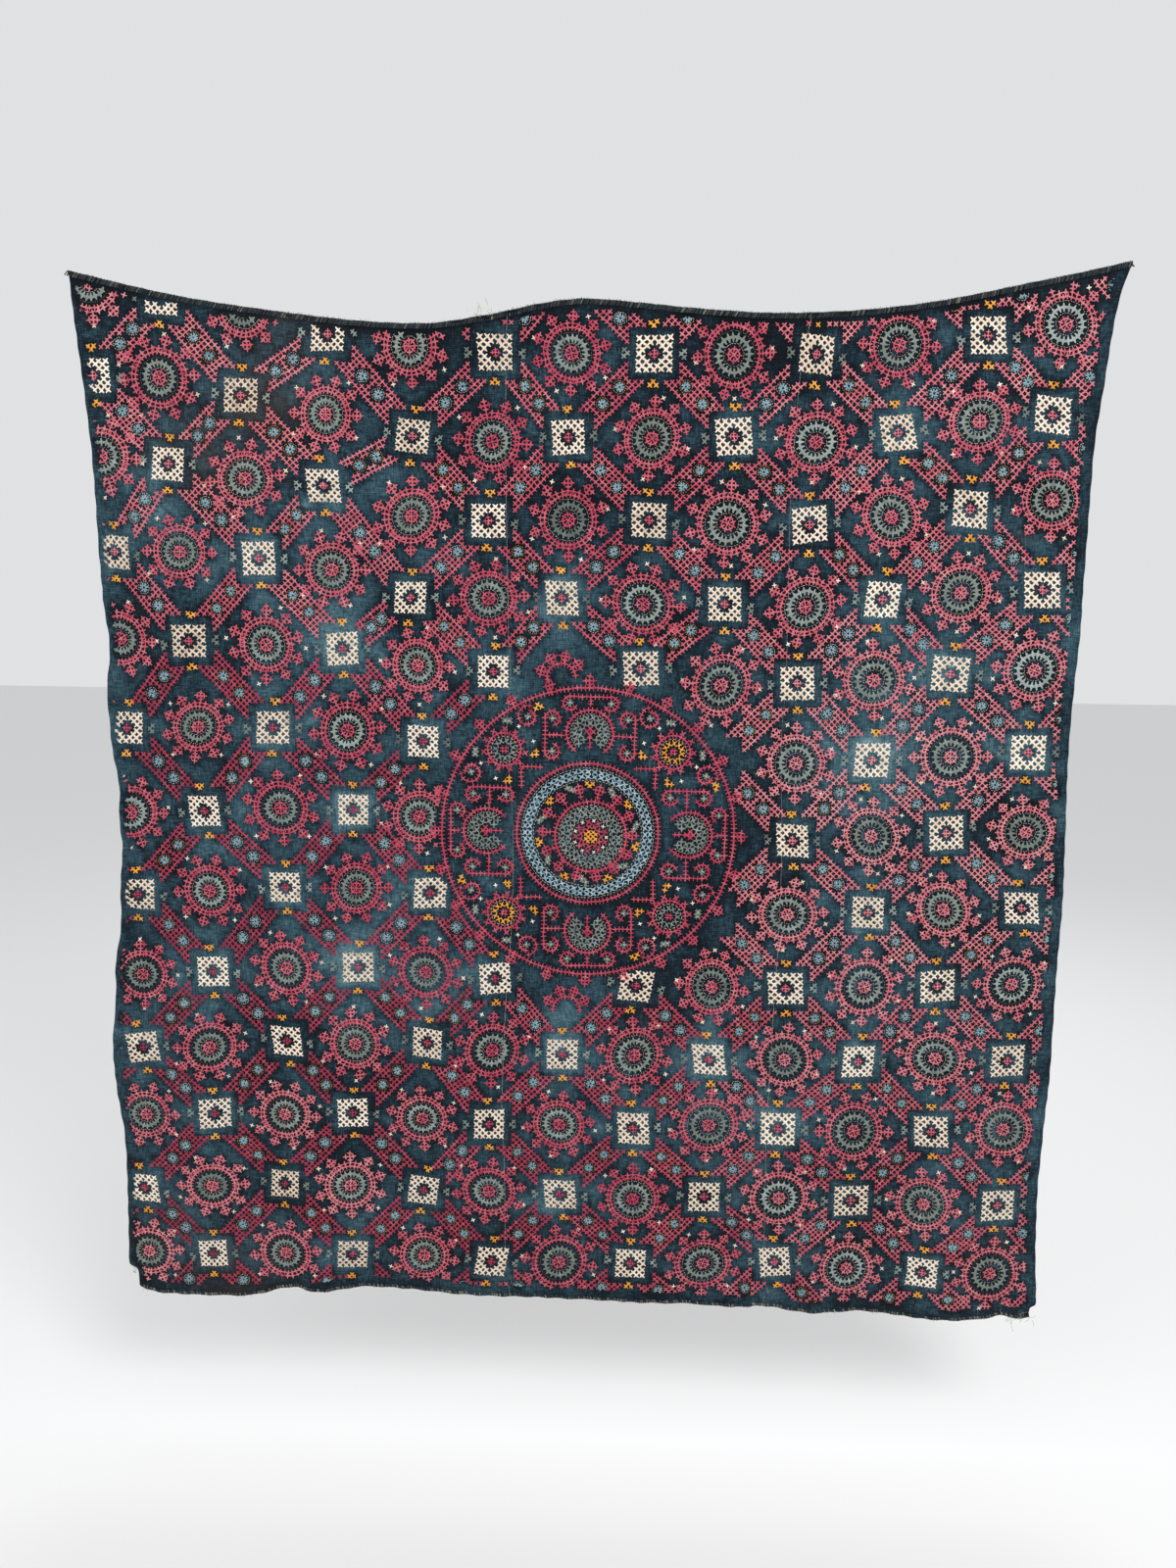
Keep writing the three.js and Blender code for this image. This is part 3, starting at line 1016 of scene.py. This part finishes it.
def add_bar(panel, start, end, tones):
    middle = ((start[0] + end[0]) / 2, (start[1] + end[1]) / 2)
    if from_medallion(*middle) < BAR_CLEAR_OF_MEDALLION:
        return
    tones["rose"] = tone_at(BAR_TONES, *middle) + hand.normal(0, MOTIF_TONE_UNEVEN)
    bar = rose_bar(math.dist(start, end) - 2 * BAR_CLEAR)
    turn = math.atan2(end[1] - start[1], end[0] - start[0])
    panel.take(bar, *middle, turn, skew=hand.normal(0, 0.04), tones=tones)


def embroidery():
    """Squares and wheels in turn over the cloth, bars between the squares, and the medallion."""
    panel = Stitches()
    for j in range(-1, LAST_ROW + 2):
        for i in range(FIRST_COLUMN, FIRST_COLUMN + len(COLUMN_X)):
            x, z = site(i, j)
            tones = YARN_TONES | {yarn: hand.normal(*spread) for yarn, spread in UNEVEN_TONES.items()}
            if (i + j) % 2 == 0:
                add_wheel(panel, x, z, tones)
                continue
            add_square(panel, x, z, tones)
            for step in (-1, 1):
                if 0 <= i + step - FIRST_COLUMN < len(COLUMN_X):
                    add_bar(panel, (x, z), site(i + step, j + 1), tones)
    panel.keep(off_medallion)
    panel.take(medallion(), *MEDALLION, tones=MEDALLION_TONES)
    for x, z in RED_KNOTS:
        panel.add("rose", x, z, **RED_KNOT)
    panel.keep(on_cloth)
    return panel


CROWD_CELL = 6.0
CROWD_LEFT, CROWD_RIGHT = -900, 900
CROWD_LOW, CROWD_HIGH = -1740, 160
FULL_CROWD = 0.55


def crowding(panel):
    """How closely the coloured stitches stand, on a grid of small cells over the cloth, for the painted
    shade among them.
    """
    coloured = [parts for yarn, parts in panel.rows.items() if yarn != "cream"]
    spot = np.concatenate([rows[:, :2] for parts in coloured for rows in parts])
    columns = np.arange(CROWD_LEFT, CROWD_RIGHT, CROWD_CELL)
    levels = np.arange(CROWD_LOW, CROWD_HIGH, CROWD_CELL)
    count, _, _ = np.histogram2d(spot[:, 0], spot[:, 1], bins=(columns, levels))
    for axis in (0, 1):
        count = (np.roll(count, 1, axis) + 2 * count + np.roll(count, -1, axis)) / 4
    return np.clip(count / FULL_CROWD, 0, 1)


def crowd_at(crowd, x, z):
    i = np.clip(((x - CROWD_LEFT) / CROWD_CELL).astype(int), 0, crowd.shape[0] - 1)
    j = np.clip(((z - CROWD_LOW) / CROWD_CELL).astype(int), 0, crowd.shape[1] - 1)
    return crowd[i, j]


# Threads laid on the cloth

THREAD_FACES = np.array([(0, 3, 2), (0, 1, 3), (1, 4, 3), (5, 2, 3), (5, 3, 6), (6, 3, 4)])
BACK_FACES = np.array([(0, 2, 1), (1, 2, 3)])
BACK_HALF = 0.45
BACK_LIFT = 0.25
BACK_RUN = 0.8
BACK_DARKER = 0.1
POSITION_UNEVEN = 0.35
TURN_UNEVEN = 0.07
TONE_UNEVEN = 0.08


def turned(vector, turn):
    c, s = np.cos(turn), np.sin(turn)
    return stacked(c * vector[:, 0] - s * vector[:, 1], s * vector[:, 0] + c * vector[:, 1])


def across_of(run):
    ahead = unit(run)
    return stacked(-ahead[:, 1], ahead[:, 0])


def laid(plane, lift, surface, faces, tone):
    """Threads from rows of flat points, one row to a thread, as points, faces and tones."""
    count, each = plane.shape[:2]
    points = surface(plane[..., 0].ravel(), plane[..., 1].ravel(), lift)
    return points, (faces + each * np.arange(count)[:, None, None]).reshape(-1, 3), np.repeat(tone, each)


def threads(spot, run, aside, tip, half, ridge, tone, bar=0.0, ends=0.0):
    """Short raised threads on the front: two ends and a ridged middle, seven points each."""
    start, middle, end = spot - run + ends, spot + bar, spot + run + ends
    tip, half = aside * np.reshape(tip, (-1, 1)), aside * np.reshape(half, (-1, 1))
    plane = np.stack([
        start + tip, start - tip, middle + half, middle, middle - half, end + tip, end - tip,
    ], 1)
    low = 0.2 * SUNK
    lift = stacked(low, low, SUNK, np.broadcast_to(ridge, len(spot)), SUNK, low, low)
    return laid(plane, lift.ravel(), on_front, THREAD_FACES, tone)


def back_threads(spot, run, aside, tone):
    """The short runs that show on the back."""
    side = aside * BACK_HALF
    start, end = spot - BACK_RUN * run, spot + BACK_RUN * run
    plane = np.stack([start + side, start - side, end + side, end - side], 1)
    return laid(plane, BACK_LIFT, on_back, BACK_FACES, tone - BACK_DARKER)


def joined(parts):
    """Several (points, faces, tones) as one."""
    points, faces, tones = zip(*parts)
    shift = np.cumsum([0] + [len(p) for p in points[:-1]])
    faces = [part + k for part, k in zip(faces, shift)]
    return np.concatenate(points), np.concatenate(faces), np.concatenate(tones)


def crossed(rows, doubled):
    """Two threads across each other at every place, the upper one doubled or not, and their backs."""
    spot, thread, tone = rows[:, :2], rows[:, THREAD], rows[:, TONE]
    parts = []
    for lean, ridge in zip((1, -1), RIDGE):
        run = turned(stacked(rows[:, WIDE], lean * rows[:, HIGH]), rows[:, TURN])
        aside = across_of(run)
        parted = doubled and lean < 0
        half = PLY_MIDDLE + (0 if parted else BAR_MIDDLE)
        tip = PLY_TIP + (0 if parted else BAR_TIP)
        for side in (-1, 1) if parted else (0,):
            bar = aside * (side * BAR_MIDDLE * thread)[:, None]
            ends = aside * (side * BAR_TIP * thread)[:, None]
            sizes = (tip * thread, half * thread, ridge * thread)
            parts.append(threads(spot, run, aside, *sizes, tone, bar, ends))
        parts.append(back_threads(spot, run, aside, tone))
    return parts


def sewn(rows):
    """Crosses and laid dashes, as points, faces and tones."""
    rows = rows.copy()
    rows[:, :2] += hand.normal(0, POSITION_UNEVEN, (len(rows), 2))
    rows[:, TURN] += hand.normal(0, TURN_UNEVEN, len(rows))
    rows[:, TONE] += hand.normal(0, TONE_UNEVEN, len(rows))
    crosses, dashes = rows[rows[:, HIGH] > 0], rows[rows[:, HIGH] == 0]
    doubled = crosses[:, THREAD] >= DOUBLED_FROM
    parts = crossed(crosses[doubled], True) + crossed(crosses[~doubled], False)
    if len(dashes):
        run = turned(stacked(dashes[:, WIDE], 0.0), dashes[:, TURN])
        sizes = (share * dashes[:, THREAD] for share in (DASH_TIP, DASH_HALF, DASH_RIDGE))
        parts.append(threads(dashes[:, :2], run, across_of(run), *sizes, dashes[:, TONE]))
    return joined(parts)


# The cloth itself

FADED = table(
    "x z reach amount",
    (-660, -330, 110, 0.14), (-380, -520, 130, 0.26), (-480, -640, 120, 0.18), (-250, -660, 100, 0.22),
    (-340, -760, 100, 0.2), (-250, -900, 130, 0.16), (-350, -1010, 120, 0.26),
    (-200, -1070, 120, 0.22), (-580, -1040, 100, 0.14), (-20, -1170, 110, 0.24),
    (200, -1190, 120, 0.16), (460, -670, 140, 0.28), (560, -540, 130, 0.2), (470, -440, 120, 0.2),
    (690, -660, 90, 0.24), (450, -1050, 150, 0.18), (340, -1290, 120, 0.16), (-20, -1420, 110, 0.2),
    (-590, -1260, 120, 0.12), (480, -180, 120, 0.16), (-30, -410, 110, 0.2), (-500, -380, 120, 0.12),
    (460, -910, 110, 0.16), (-380, -1530, 90, 0.12), (-480, -820, 260, 0.1),
)
# Places where the cloth is made darker; the rows near the top, under the sagging spans of the top edge,
# are painted shade
DARK = table(
    "x z reach amount",
    (230, -860, 190, 0.14), (100, -960, 170, 0.12), (215, -300, 110, 0.1), (110, -180, 110, 0.1),
    (-200, -70, 120, 0.14), (270, -50, 150, 0.24), (360, -170, 100, 0.08), (10, -260, 260, 0.1),
)
STAINED = table(
    "x z reach amount",
    (-560, -210, 120, 0.4), (-470, -150, 90, 0.3), (-430, -60, 90, 0.25), (668, -334, 15, 0.8),
    (-690, -1500, 80, 0.25), (-560, -1590, 110, 0.35), (120, -1130, 60, 0.16), (712, -1485, 24, 0.35),
)
BASE_FADE = 0.38
# Painted shade among the stitches: how much darker the cloth is made where they crowd
STITCH_SHADE = 0.31
TORN_PALER = 0.1
SPOT_SHARE = 0.65
STAIN_BASE = 0.7
STAIN_UNEVEN = 0.5
STAIN_SIZE = 30
MOST_STAIN = 0.9
FADE_PATCHES = table("size amount seed", (95, 0.1, 11), (38, 0.11, 12), (19, 0.07, 14))
# How much darker the cloth is along its left, right, top and bottom edges, numbered 0 to 3; the two rows
# for the top edge are painted shade below the top hem
EDGE_DARK = table("edge reach amount", (2, 20, 0.3), (2, 90, 0.12), (3, 26, 0.16), (1, 12, 0.12))
# The front and the back side by side on a strip's map, and the rim beside the front
MAP_SIZE = (0.49, 0.98)
FRONT_MAP = (0.002, 0.01)
BACK_MAP = (0.508, 0.01)
RIM_MAP = 0.004


def spots(rows, x, z):
    total = 0.0
    for at_x, at_z, reach, amount in zip(*rows.values()):
        away = (x - at_x) ** 2 + (z - at_z) ** 2
        total = total + amount * np.exp(-away / (SPOT_SHARE * reach) ** 2)
    return total


def wear(x, z, crowd):
    """How far the indigo has faded, less painted shade among the stitches and under the top edge, and
    how far it is stained, at points of the cloth.
    """
    # Painted shade: the cloth is darkened where the stitches crowd, for the shade between them
    fade = BASE_FADE + spots(FADED, x, z) - spots(DARK, x, z) - STITCH_SHADE * crowd_at(crowd, x, z)
    fade = fade + uneven(FADE_PATCHES, x, z) + TORN_PALER * torn(x, z)
    inset = edge_distances(x, z)
    for edge, reach, amount in zip(*EDGE_DARK.values()):
        fade = fade - amount * hump(inset[int(edge)] / reach)
    stain = spots(STAINED, x, z) * (STAIN_BASE + STAIN_UNEVEN * mottle(x, z, STAIN_SIZE, 13))
    return fade, np.clip(stain, 0, MOST_STAIN)


def rolled(inset, middle, half):
    """Half the thickness of a rolled hem at a distance from its edge."""
    bulge = half * np.sqrt(np.clip(1 - ((inset - middle) / middle) ** 2, ROLL_BLUNT, 1))
    return np.where(inset < middle, bulge, mix(half, 0, ease((inset - middle) / (ROLL_FALL * middle))))


def folded(inset, wide, half):
    """Half the thickness of a folded side at a distance from its edge."""
    nose = half * np.sqrt(np.clip(1 - (1 - np.minimum(inset / FOLD_NOSE, 1)) ** 2, FOLD_BLUNT, 1))
    return nose * (1 - ease((inset - wide) / FOLD_FALL))


def cloth_half(across, down):
    """Half the thickness of the cloth by its shares across and down."""
    side = np.minimum(across, 1 - across) * MEAN_WIDTH
    top = down * MEAN_HEIGHT
    bottom = MEAN_HEIGHT - top
    rolls = np.maximum(rolled(top, **TOP_ROLL), rolled(bottom, **BOTTOM_ROLL))
    hems = np.maximum(folded(side, **SIDE_FOLD), rolls)
    inset = np.minimum(side, np.minimum(top, bottom))
    return np.maximum(hems, np.where(inset > 1, CLOTH_HALF, RIM_HALF))


def grid_shares(start, end, size, first, last, extra=()):
    """Lines of a strip's grid: close in the hems and by a seam, even between."""
    low = start + np.array(first) / size
    high = end - np.array(last)[::-1] / size
    count = int((high[0] - low[-1]) * size / GRID_STEP)
    between = np.linspace(low[-1], high[0], count + 1)[1:-1]
    return np.unique(np.concatenate([low, between, high, np.array(extra)]).round(6))


def tear_rows():
    """Shares down the right side of the rows that shape the tear."""
    levels = [TEAR[end] + off for end in ("high", "low") for off in (-TEAR_RIM, 0, TEAR_RIM)]
    return [(TOP_RIGHT[1] - level) / (TOP_RIGHT[1] - BOTTOM_RIGHT[1]) for level in levels]


def quads(first, second, third, fourth):
    return np.stack([v.ravel() for v in (first, second, third, fourth)], -1)


def strip_cloth(name, start, end, material, crowd):
    """One loom strip as a closed thin sheet."""
    first = SIDE_LINES if start == 0 else SEAM_LINES
    last = SIDE_LINES if end == 1 else SEAM_LINES
    across = grid_shares(start, end, MEAN_WIDTH, first, last)
    extra = [1 - up / MEAN_HEIGHT for up in CORNER_LINES] + (tear_rows() if end == 1 else [])
    down = grid_shares(0, 1, MEAN_HEIGHT, TOP_LINES, BOTTOM_LINES, extra)
    a, b = np.meshgrid(across, down)
    x, z = outline_point(a, b)
    x[:, 0] += SEAM_GAP / 2 if start > 0 else 0
    x[:, -1] -= SEAM_GAP / 2 if end < 1 else 0
    half, middle = cloth_half(a, b), -relief(x, z)
    points = np.concatenate([stacked(x, middle + side * half, z).reshape(-1, 3) for side in (-1, 1)])
    number = np.arange(a.size).reshape(a.shape)
    corners = (number[:-1, :-1], number[1:, :-1], number[1:, 1:], number[:-1, 1:])
    front, back = quads(*corners), quads(corners[0], *corners[:0:-1])
    loop = np.concatenate([number[0, :-1], number[:-1, -1], number[-1, :0:-1], number[:0:-1, 0]])
    onward = np.roll(loop, -1)
    rim = quads(loop, onward, onward + a.size, loop + a.size)
    faces = np.concatenate([front, back + a.size, rim])
    flat = stacked((a - start) / (end - start), 1 - b).reshape(-1, 2) * MAP_SIZE
    rim_map = np.concatenate([flat + FRONT_MAP, flat + FRONT_MAP + RIM_MAP])
    sides = ((flat + FRONT_MAP, front), (flat + BACK_MAP, back), (rim_map, rim))
    map_points = np.concatenate([spots_on[part.ravel()] for spots_on, part in sides])
    fade, stain = wear(points[:, 0], points[:, 2], crowd)
    return mesh_object(name, points, faces, material, map_points, {"fade": fade, "stain": stain})


def flat_size(start, end):
    """Width and length that a strip was cut to, from its hung middle lines, in metres."""
    share = np.linspace(0, 1, 200)
    size = []
    for a, b in ((mix(start, end, share), 0.5), ((start + end) / 2, share)):
        x, z = outline_point(a, b)
        run = stacked(x, -main_folds(x, z), z)
        size.append(np.linalg.norm(np.diff(run, axis=0), axis=1).sum() * MM)
    return tuple(size)


# Overcast hems, seams and loose ends

OVERCAST_STATIONS = 7
OVERCAST_SWING = math.radians(140)
OVERCAST_CLEAR = 0.25
OVERCAST_UNEVEN = 0.7
OVERCAST_RIDGE = 0.7
OVERCAST_THICK = (0.8, 1.2)
DARK_TONE = (0.3, 0.07)
PALE_TONE_UNEVEN = 0.08
EDGE_SAMPLES = 900
OVERCASTS = {
    "top": {"roll": TOP_ROLL, "step": 2.7, "slant": 9.0, "half": 1.0, "pale": 0.14, "tone": 0.54},
    "bottom": {"roll": BOTTOM_ROLL, "step": 3.1, "slant": 6.0, "half": 0.9, "pale": 0.5, "tone": 0.64},
}


def edge_path(edge, step):
    """Points along the top or bottom edge, with the ways along it and inward."""
    path = stacked(*outline_point(np.linspace(0, 1, EDGE_SAMPLES), 0.0 if edge == "top" else 1.0))
    length = np.concatenate([[0], np.cumsum(np.linalg.norm(np.diff(path, axis=0), axis=1))])
    at = np.arange(step, length[-1] - 2, step)

    def along(places):
        return stacked(np.interp(places, length, path[:, 0]), np.interp(places, length, path[:, 1]))

    ahead = unit(along(at + 3) - along(at - 3))
    inward = stacked(ahead[:, 1], -ahead[:, 0])
    return along(at), ahead, inward if edge == "top" else -inward


def ridge_tube(rows, sides, raised):
    """Long ridged threads: rows of points, the way across and the way up at each."""
    count, stations = rows.shape[:2]
    points = np.stack([rows + sides, rows + raised, rows - sides], 2).reshape(-1, 3)
    base = 3 * np.arange(count * stations).reshape(count, stations)
    a, b = base[:, :-1].ravel(), base[:, 1:].ravel()
    faces = np.concatenate([np.stack([a + k, a + k + 1, b + k + 1, b + k], -1) for k in (0, 1)])
    return points, faces


def overcast(edge):
    """Thread wound over a rolled hem, dark and khaki."""
    style = OVERCASTS[edge]
    middle, half = style["roll"]["middle"], style["roll"]["half"]
    spot, ahead, inward = edge_path(edge, style["step"])
    count = len(spot)
    spot = spot + ahead * hand.normal(0, OVERCAST_UNEVEN, (count, 1))
    swing = np.linspace(-OVERCAST_SWING, OVERCAST_SWING, OVERCAST_STATIONS)
    depth = middle - (middle + OVERCAST_CLEAR) * np.cos(swing)
    slide = style["slant"] * np.linspace(-0.5, 0.5, OVERCAST_STATIONS)
    level = (half + OVERCAST_CLEAR) * np.sin(swing)
    plane = spot[:, None] + inward[:, None] * depth[:, None] + ahead[:, None] * slide[:, None]
    axis = -relief(*(spot + inward * middle).T)
    rows = stacked(plane[..., 0], axis[:, None] + level, plane[..., 1])
    thick = hand.uniform(*OVERCAST_THICK, (count, 1, 1)) * style["half"]
    side = stacked(ahead[:, 0], 0.0, ahead[:, 1])[:, None] * thick
    outward = -inward[:, None] * np.cos(swing)[:, None]
    raised = stacked(outward[..., 0], np.sin(swing), outward[..., 1]) * thick * OVERCAST_RIDGE
    points, faces = ridge_tube(rows, side, raised)
    pale = hand.uniform(size=count) < style["pale"]
    khaki = hand.normal(style["tone"], PALE_TONE_UNEVEN, count)
    tone = np.where(pale, khaki, hand.normal(*DARK_TONE, count))
    return points, faces, np.repeat(tone, 3 * OVERCAST_STATIONS), spot


SEAM_STEP = 7.5
SEAM_HALF_RUN = 2.4
SEAM_CLEAR = 14
SEAM_UNEVEN = 1.0
SEAM_SLANT = (0.6, 0.25)
SEAM_TONE = (0.32, 0.17)
SEAM_PALER = {"amount": 0.18, "from": -850, "over": 500}
SEAM_THREAD = {"tip": 0.35, "half": 0.5, "ridge": 0.6}


def seam_stitches(share):
    """Slanted stitches that draw two strips together."""
    down = np.arange(SEAM_CLEAR, MEAN_HEIGHT - SEAM_CLEAR, SEAM_STEP) / MEAN_HEIGHT
    down = down + hand.normal(0, SEAM_UNEVEN, len(down)) / MEAN_HEIGHT
    spot = stacked(*outline_point(share, down))
    run = turned(np.full(spot.shape, (SEAM_HALF_RUN, 0.0)), hand.normal(*SEAM_SLANT, len(down)))
    below = ease((SEAM_PALER["from"] - spot[:, 1]) / SEAM_PALER["over"])
    tone = hand.normal(*SEAM_TONE, len(down)) + SEAM_PALER["amount"] * below
    return threads(spot, run, across_of(run), **SEAM_THREAD, tone=tone)


# Frayed places: how far the fibres spread along the edge, how long they are and which way they lie
FRAYED = table(
    "x z spread length heading count tone",
    (-700, 20, 60, 3, 90, 60, 0.62), (-560, -6, 70, 3, 90, 70, 0.66), (-400, -26, 70, 4, 90, 80, 0.68),
    (-240, -37, 60, 4, 90, 70, 0.7), (-150, -26, 9, 13, 70, 16, 0.95), (-90, -12, 50, 4, 90, 80, 0.76),
    (0, 2, 60, 4, 90, 80, 0.74), (130, -8, 60, 3, 90, 70, 0.7), (270, -19, 70, 3, 90, 70, 0.7),
    (420, -10, 70, 4, 90, 60, 0.68), (560, 10, 60, 3, 90, 50, 0.66), (700, 40, 60, 3, 90, 50, 0.62),
    (745, -1612, 14, 17, 300, 16, 0.85), (762, -1612, 6, 20, 250, 8, 0.9),
    (-741, -1578, 5, 6, 200, 16, 0.8), (-728, -1608, 6, 6, 250, 14, 0.75),
    (-560, -1616, 70, 4, 270, 20, 0.7), (-250, -1600, 90, 4, 270, 18, 0.7),
    (200, -1608, 90, 4, 270, 16, 0.7), (560, -1620, 80, 4, 270, 22, 0.72),
    (748, -1300, 2, 5, 340, 16, 0.5), (750, -1326, 4, 5, 60, 14, 0.6), (770, -1560, 5, 5, 20, 10, 0.7),
)
LONG_SPREAD = 20
TOP_REACH = (TOP_LEFT[0] + 4, TOP_RIGHT[0] - 4)
BOTTOM_REACH = (BOTTOM_LEFT[0] - 6, BOTTOM_RIGHT[0] + 2)
FIBRE_INSET = 1.5
FIBRE_SCATTER = 6
FIBRE_TURN = 0.7
FIBRE_CURL = 1.1
FIBRE_REACH = (0.4, 1.3)
FIBRE_OUT = (-1.5, 2.5)
FIBRE_RISE = (-1, 3)
FIBRE_TONE_UNEVEN = 0.15
FIBRE_STATIONS = 5
FIBRE_HALF = 0.24


def fibre(x, z, length, heading):
    """One loose fibre from a spot on the cloth."""
    share = np.linspace(0, 1, FIBRE_STATIONS)
    way = heading + hand.normal(0, FIBRE_TURN) + hand.normal(0, FIBRE_CURL) * share
    reach = length * hand.uniform(*FIBRE_REACH)
    run = np.cumsum(stacked(np.cos(way), np.sin(way)), 0) * reach / FIBRE_STATIONS
    level = -float(relief(np.array(x), np.array(z)))
    out = level - hand.uniform(*FIBRE_OUT) - share * hand.uniform(*FIBRE_RISE)
    return stacked(x + run[:, 0], out, z + run[:, 1])


def loose_ends():
    """Frayed fibres and thread ends, mostly along the hems."""
    rows, tones = [], []
    for x, z, spread, length, heading, count, tone in zip(*FRAYED.values()):
        upper = heading < 180
        edge, reach = (TOP_EDGE, TOP_REACH) if upper else (BOTTOM_EDGE, BOTTOM_REACH)
        for _ in range(int(count)):
            at_x = float(np.clip(x + hand.normal(0, spread), *reach))
            at_z = z + hand.normal(0, min(spread, FIBRE_SCATTER))
            if spread > LONG_SPREAD:
                at_z = float(follow(edge, np.array(at_x))) + FIBRE_INSET * (-1 if upper else 1)
            rows.append(fibre(at_x, at_z, length, math.radians(heading)))
            tones.append(tone + hand.normal(0, FIBRE_TONE_UNEVEN))
    rows = np.array(rows)
    ahead = unit(np.gradient(rows, axis=1))
    side = stacked(-ahead[..., 2], 0.0, ahead[..., 0]) * FIBRE_HALF
    points, faces = ridge_tube(rows, side, np.array([0, -FIBRE_HALF, 0]))
    return points, faces, np.repeat(np.array(tones), 3 * FIBRE_STATIONS), rows[:, 0, ::2]


def strip_of(x, z):
    return np.clip(np.searchsorted(SEAMS, share_across(x, z)) - 1, 0, len(STRIPS) - 1)


def select(points, faces, tones, chosen):
    """Only the chosen threads of a set, each with the same number of points."""
    keep = np.repeat(chosen, len(points) // len(chosen))
    renumber = np.cumsum(keep) - 1
    return points[keep], renumber[faces[keep[faces[:, 0]]]], tones[keep]


def build_panel():
    """Every piece of the panel: each strip's cloth with what is sewn on it."""
    cotton = indigo_cotton()
    finishes = {yarn: silk(f"{yarn}_thread", tones) for yarn, tones in YARNS.items()}
    work = embroidery()
    crowd = crowding(work)
    hems = {"top_hem": overcast("top"), "bottom_hem": overcast("bottom"), "loose_ends": loose_ends()}

    def thread_piece(name, yarn, points, faces, tones):
        return mesh_object(name, points, faces, finishes[yarn], flat_map(points, faces), {"tone": tones})

    for k, strip in enumerate(STRIPS):
        start, end = SEAMS[k], SEAMS[k + 1]
        cloth = strip_cloth(f"{strip}_cloth", start, end, cotton, crowd)
        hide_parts(strip)
        for yarn in ("rose", "cream", "sage", "blue", "gold"):
            rows = np.concatenate(work.rows[yarn])
            rows = rows[strip_of(rows[:, X], rows[:, Z]) == k]
            thread_piece(f"{yarn}_stitches_{strip}", yarn, *sewn(rows))
        for name, (*threads_of, places) in hems.items():
            part = select(*threads_of, strip_of(*places.T) == k)
            thread_piece(f"{name}_{strip}", "hem", *part)
        if end < 1:
            thread_piece(f"seam_{k + 1}", "hem", *seam_stitches(end))
        flat_size(start, end)


# Camera, light and floor

CAMERA_PLACE = (66.7, -1827.8, -414.6)
CAMERA_YAW = 0.0269
CAMERA_PITCH = -0.1668
CAMERA_ROLL = -0.0145
CAMERA_LENS = 27.0
FLOOR_Z = -1868
FLOOR_HALF = 14.0
ROOM = {"Color": (0.88, 0.89, 0.9, 1), "Strength": 0.85}


def make_camera():
    data = bpy.data.cameras.new("camera")
    data.lens = CAMERA_LENS
    camera = placed("camera", data)
    turn = (
        Matrix.Rotation(CAMERA_YAW, 4, "Z") @ Matrix.Rotation(CAMERA_PITCH, 4, "X")
        @ Matrix.Rotation(CAMERA_ROLL, 4, "Y") @ Matrix.Rotation(math.pi / 2, 4, "X")
    )
    camera.matrix_world = Matrix.Translation([v * MM for v in CAMERA_PLACE]) @ turn
    bpy.context.scene.camera = camera


LIGHT_TARGET = Vector((0, 0, -0.8))


def area_light(name, place, size, power):
    data = bpy.data.lights.new(name, "AREA")
    data.shape = "DISK"
    data.size = size
    data.energy = power
    light = placed(name, data)
    light.location = place
    light.rotation_euler = (Vector(place) - LIGHT_TARGET).to_track_quat("Z", "Y").to_euler()


def make_stage():
    """A plain pale floor under soft even light."""
    mesh = bpy.data.meshes.new("floor")
    square = [(FLOOR_HALF * i, FLOOR_HALF * j, 0) for i, j in ((-1, -1), (1, -1), (1, 1), (-1, 1))]
    mesh.from_pydata(square, [], [(0, 1, 2, 3)])
    floor = placed("floor", mesh)
    floor.location.z = FLOOR_Z * MM
    paint = Finish("pale_floor", Base_Color=(0.8, 0.8, 0.8, 1), Roughness=0.9, Specular_IOR_Level=0.2)
    mesh.materials.append(paint.material)
    world = bpy.data.worlds.new("pale_room")
    world.use_nodes = True
    for socket, value in ROOM.items():
        world.node_tree.nodes["Background"].inputs[socket].default_value = value
    bpy.context.scene.world = world
    area_light("key", (1.3, -2.5, 1.6), size=1.8, power=74)
    area_light("fill", (-2.2, -2.4, 0.2), size=2.2, power=24)
    area_light("behind", (0.5, 2.6, 1.0), size=2.2, power=30)


make_camera()
build_panel()
make_stage()
bpy.context.scene.view_settings.view_transform = "Standard"
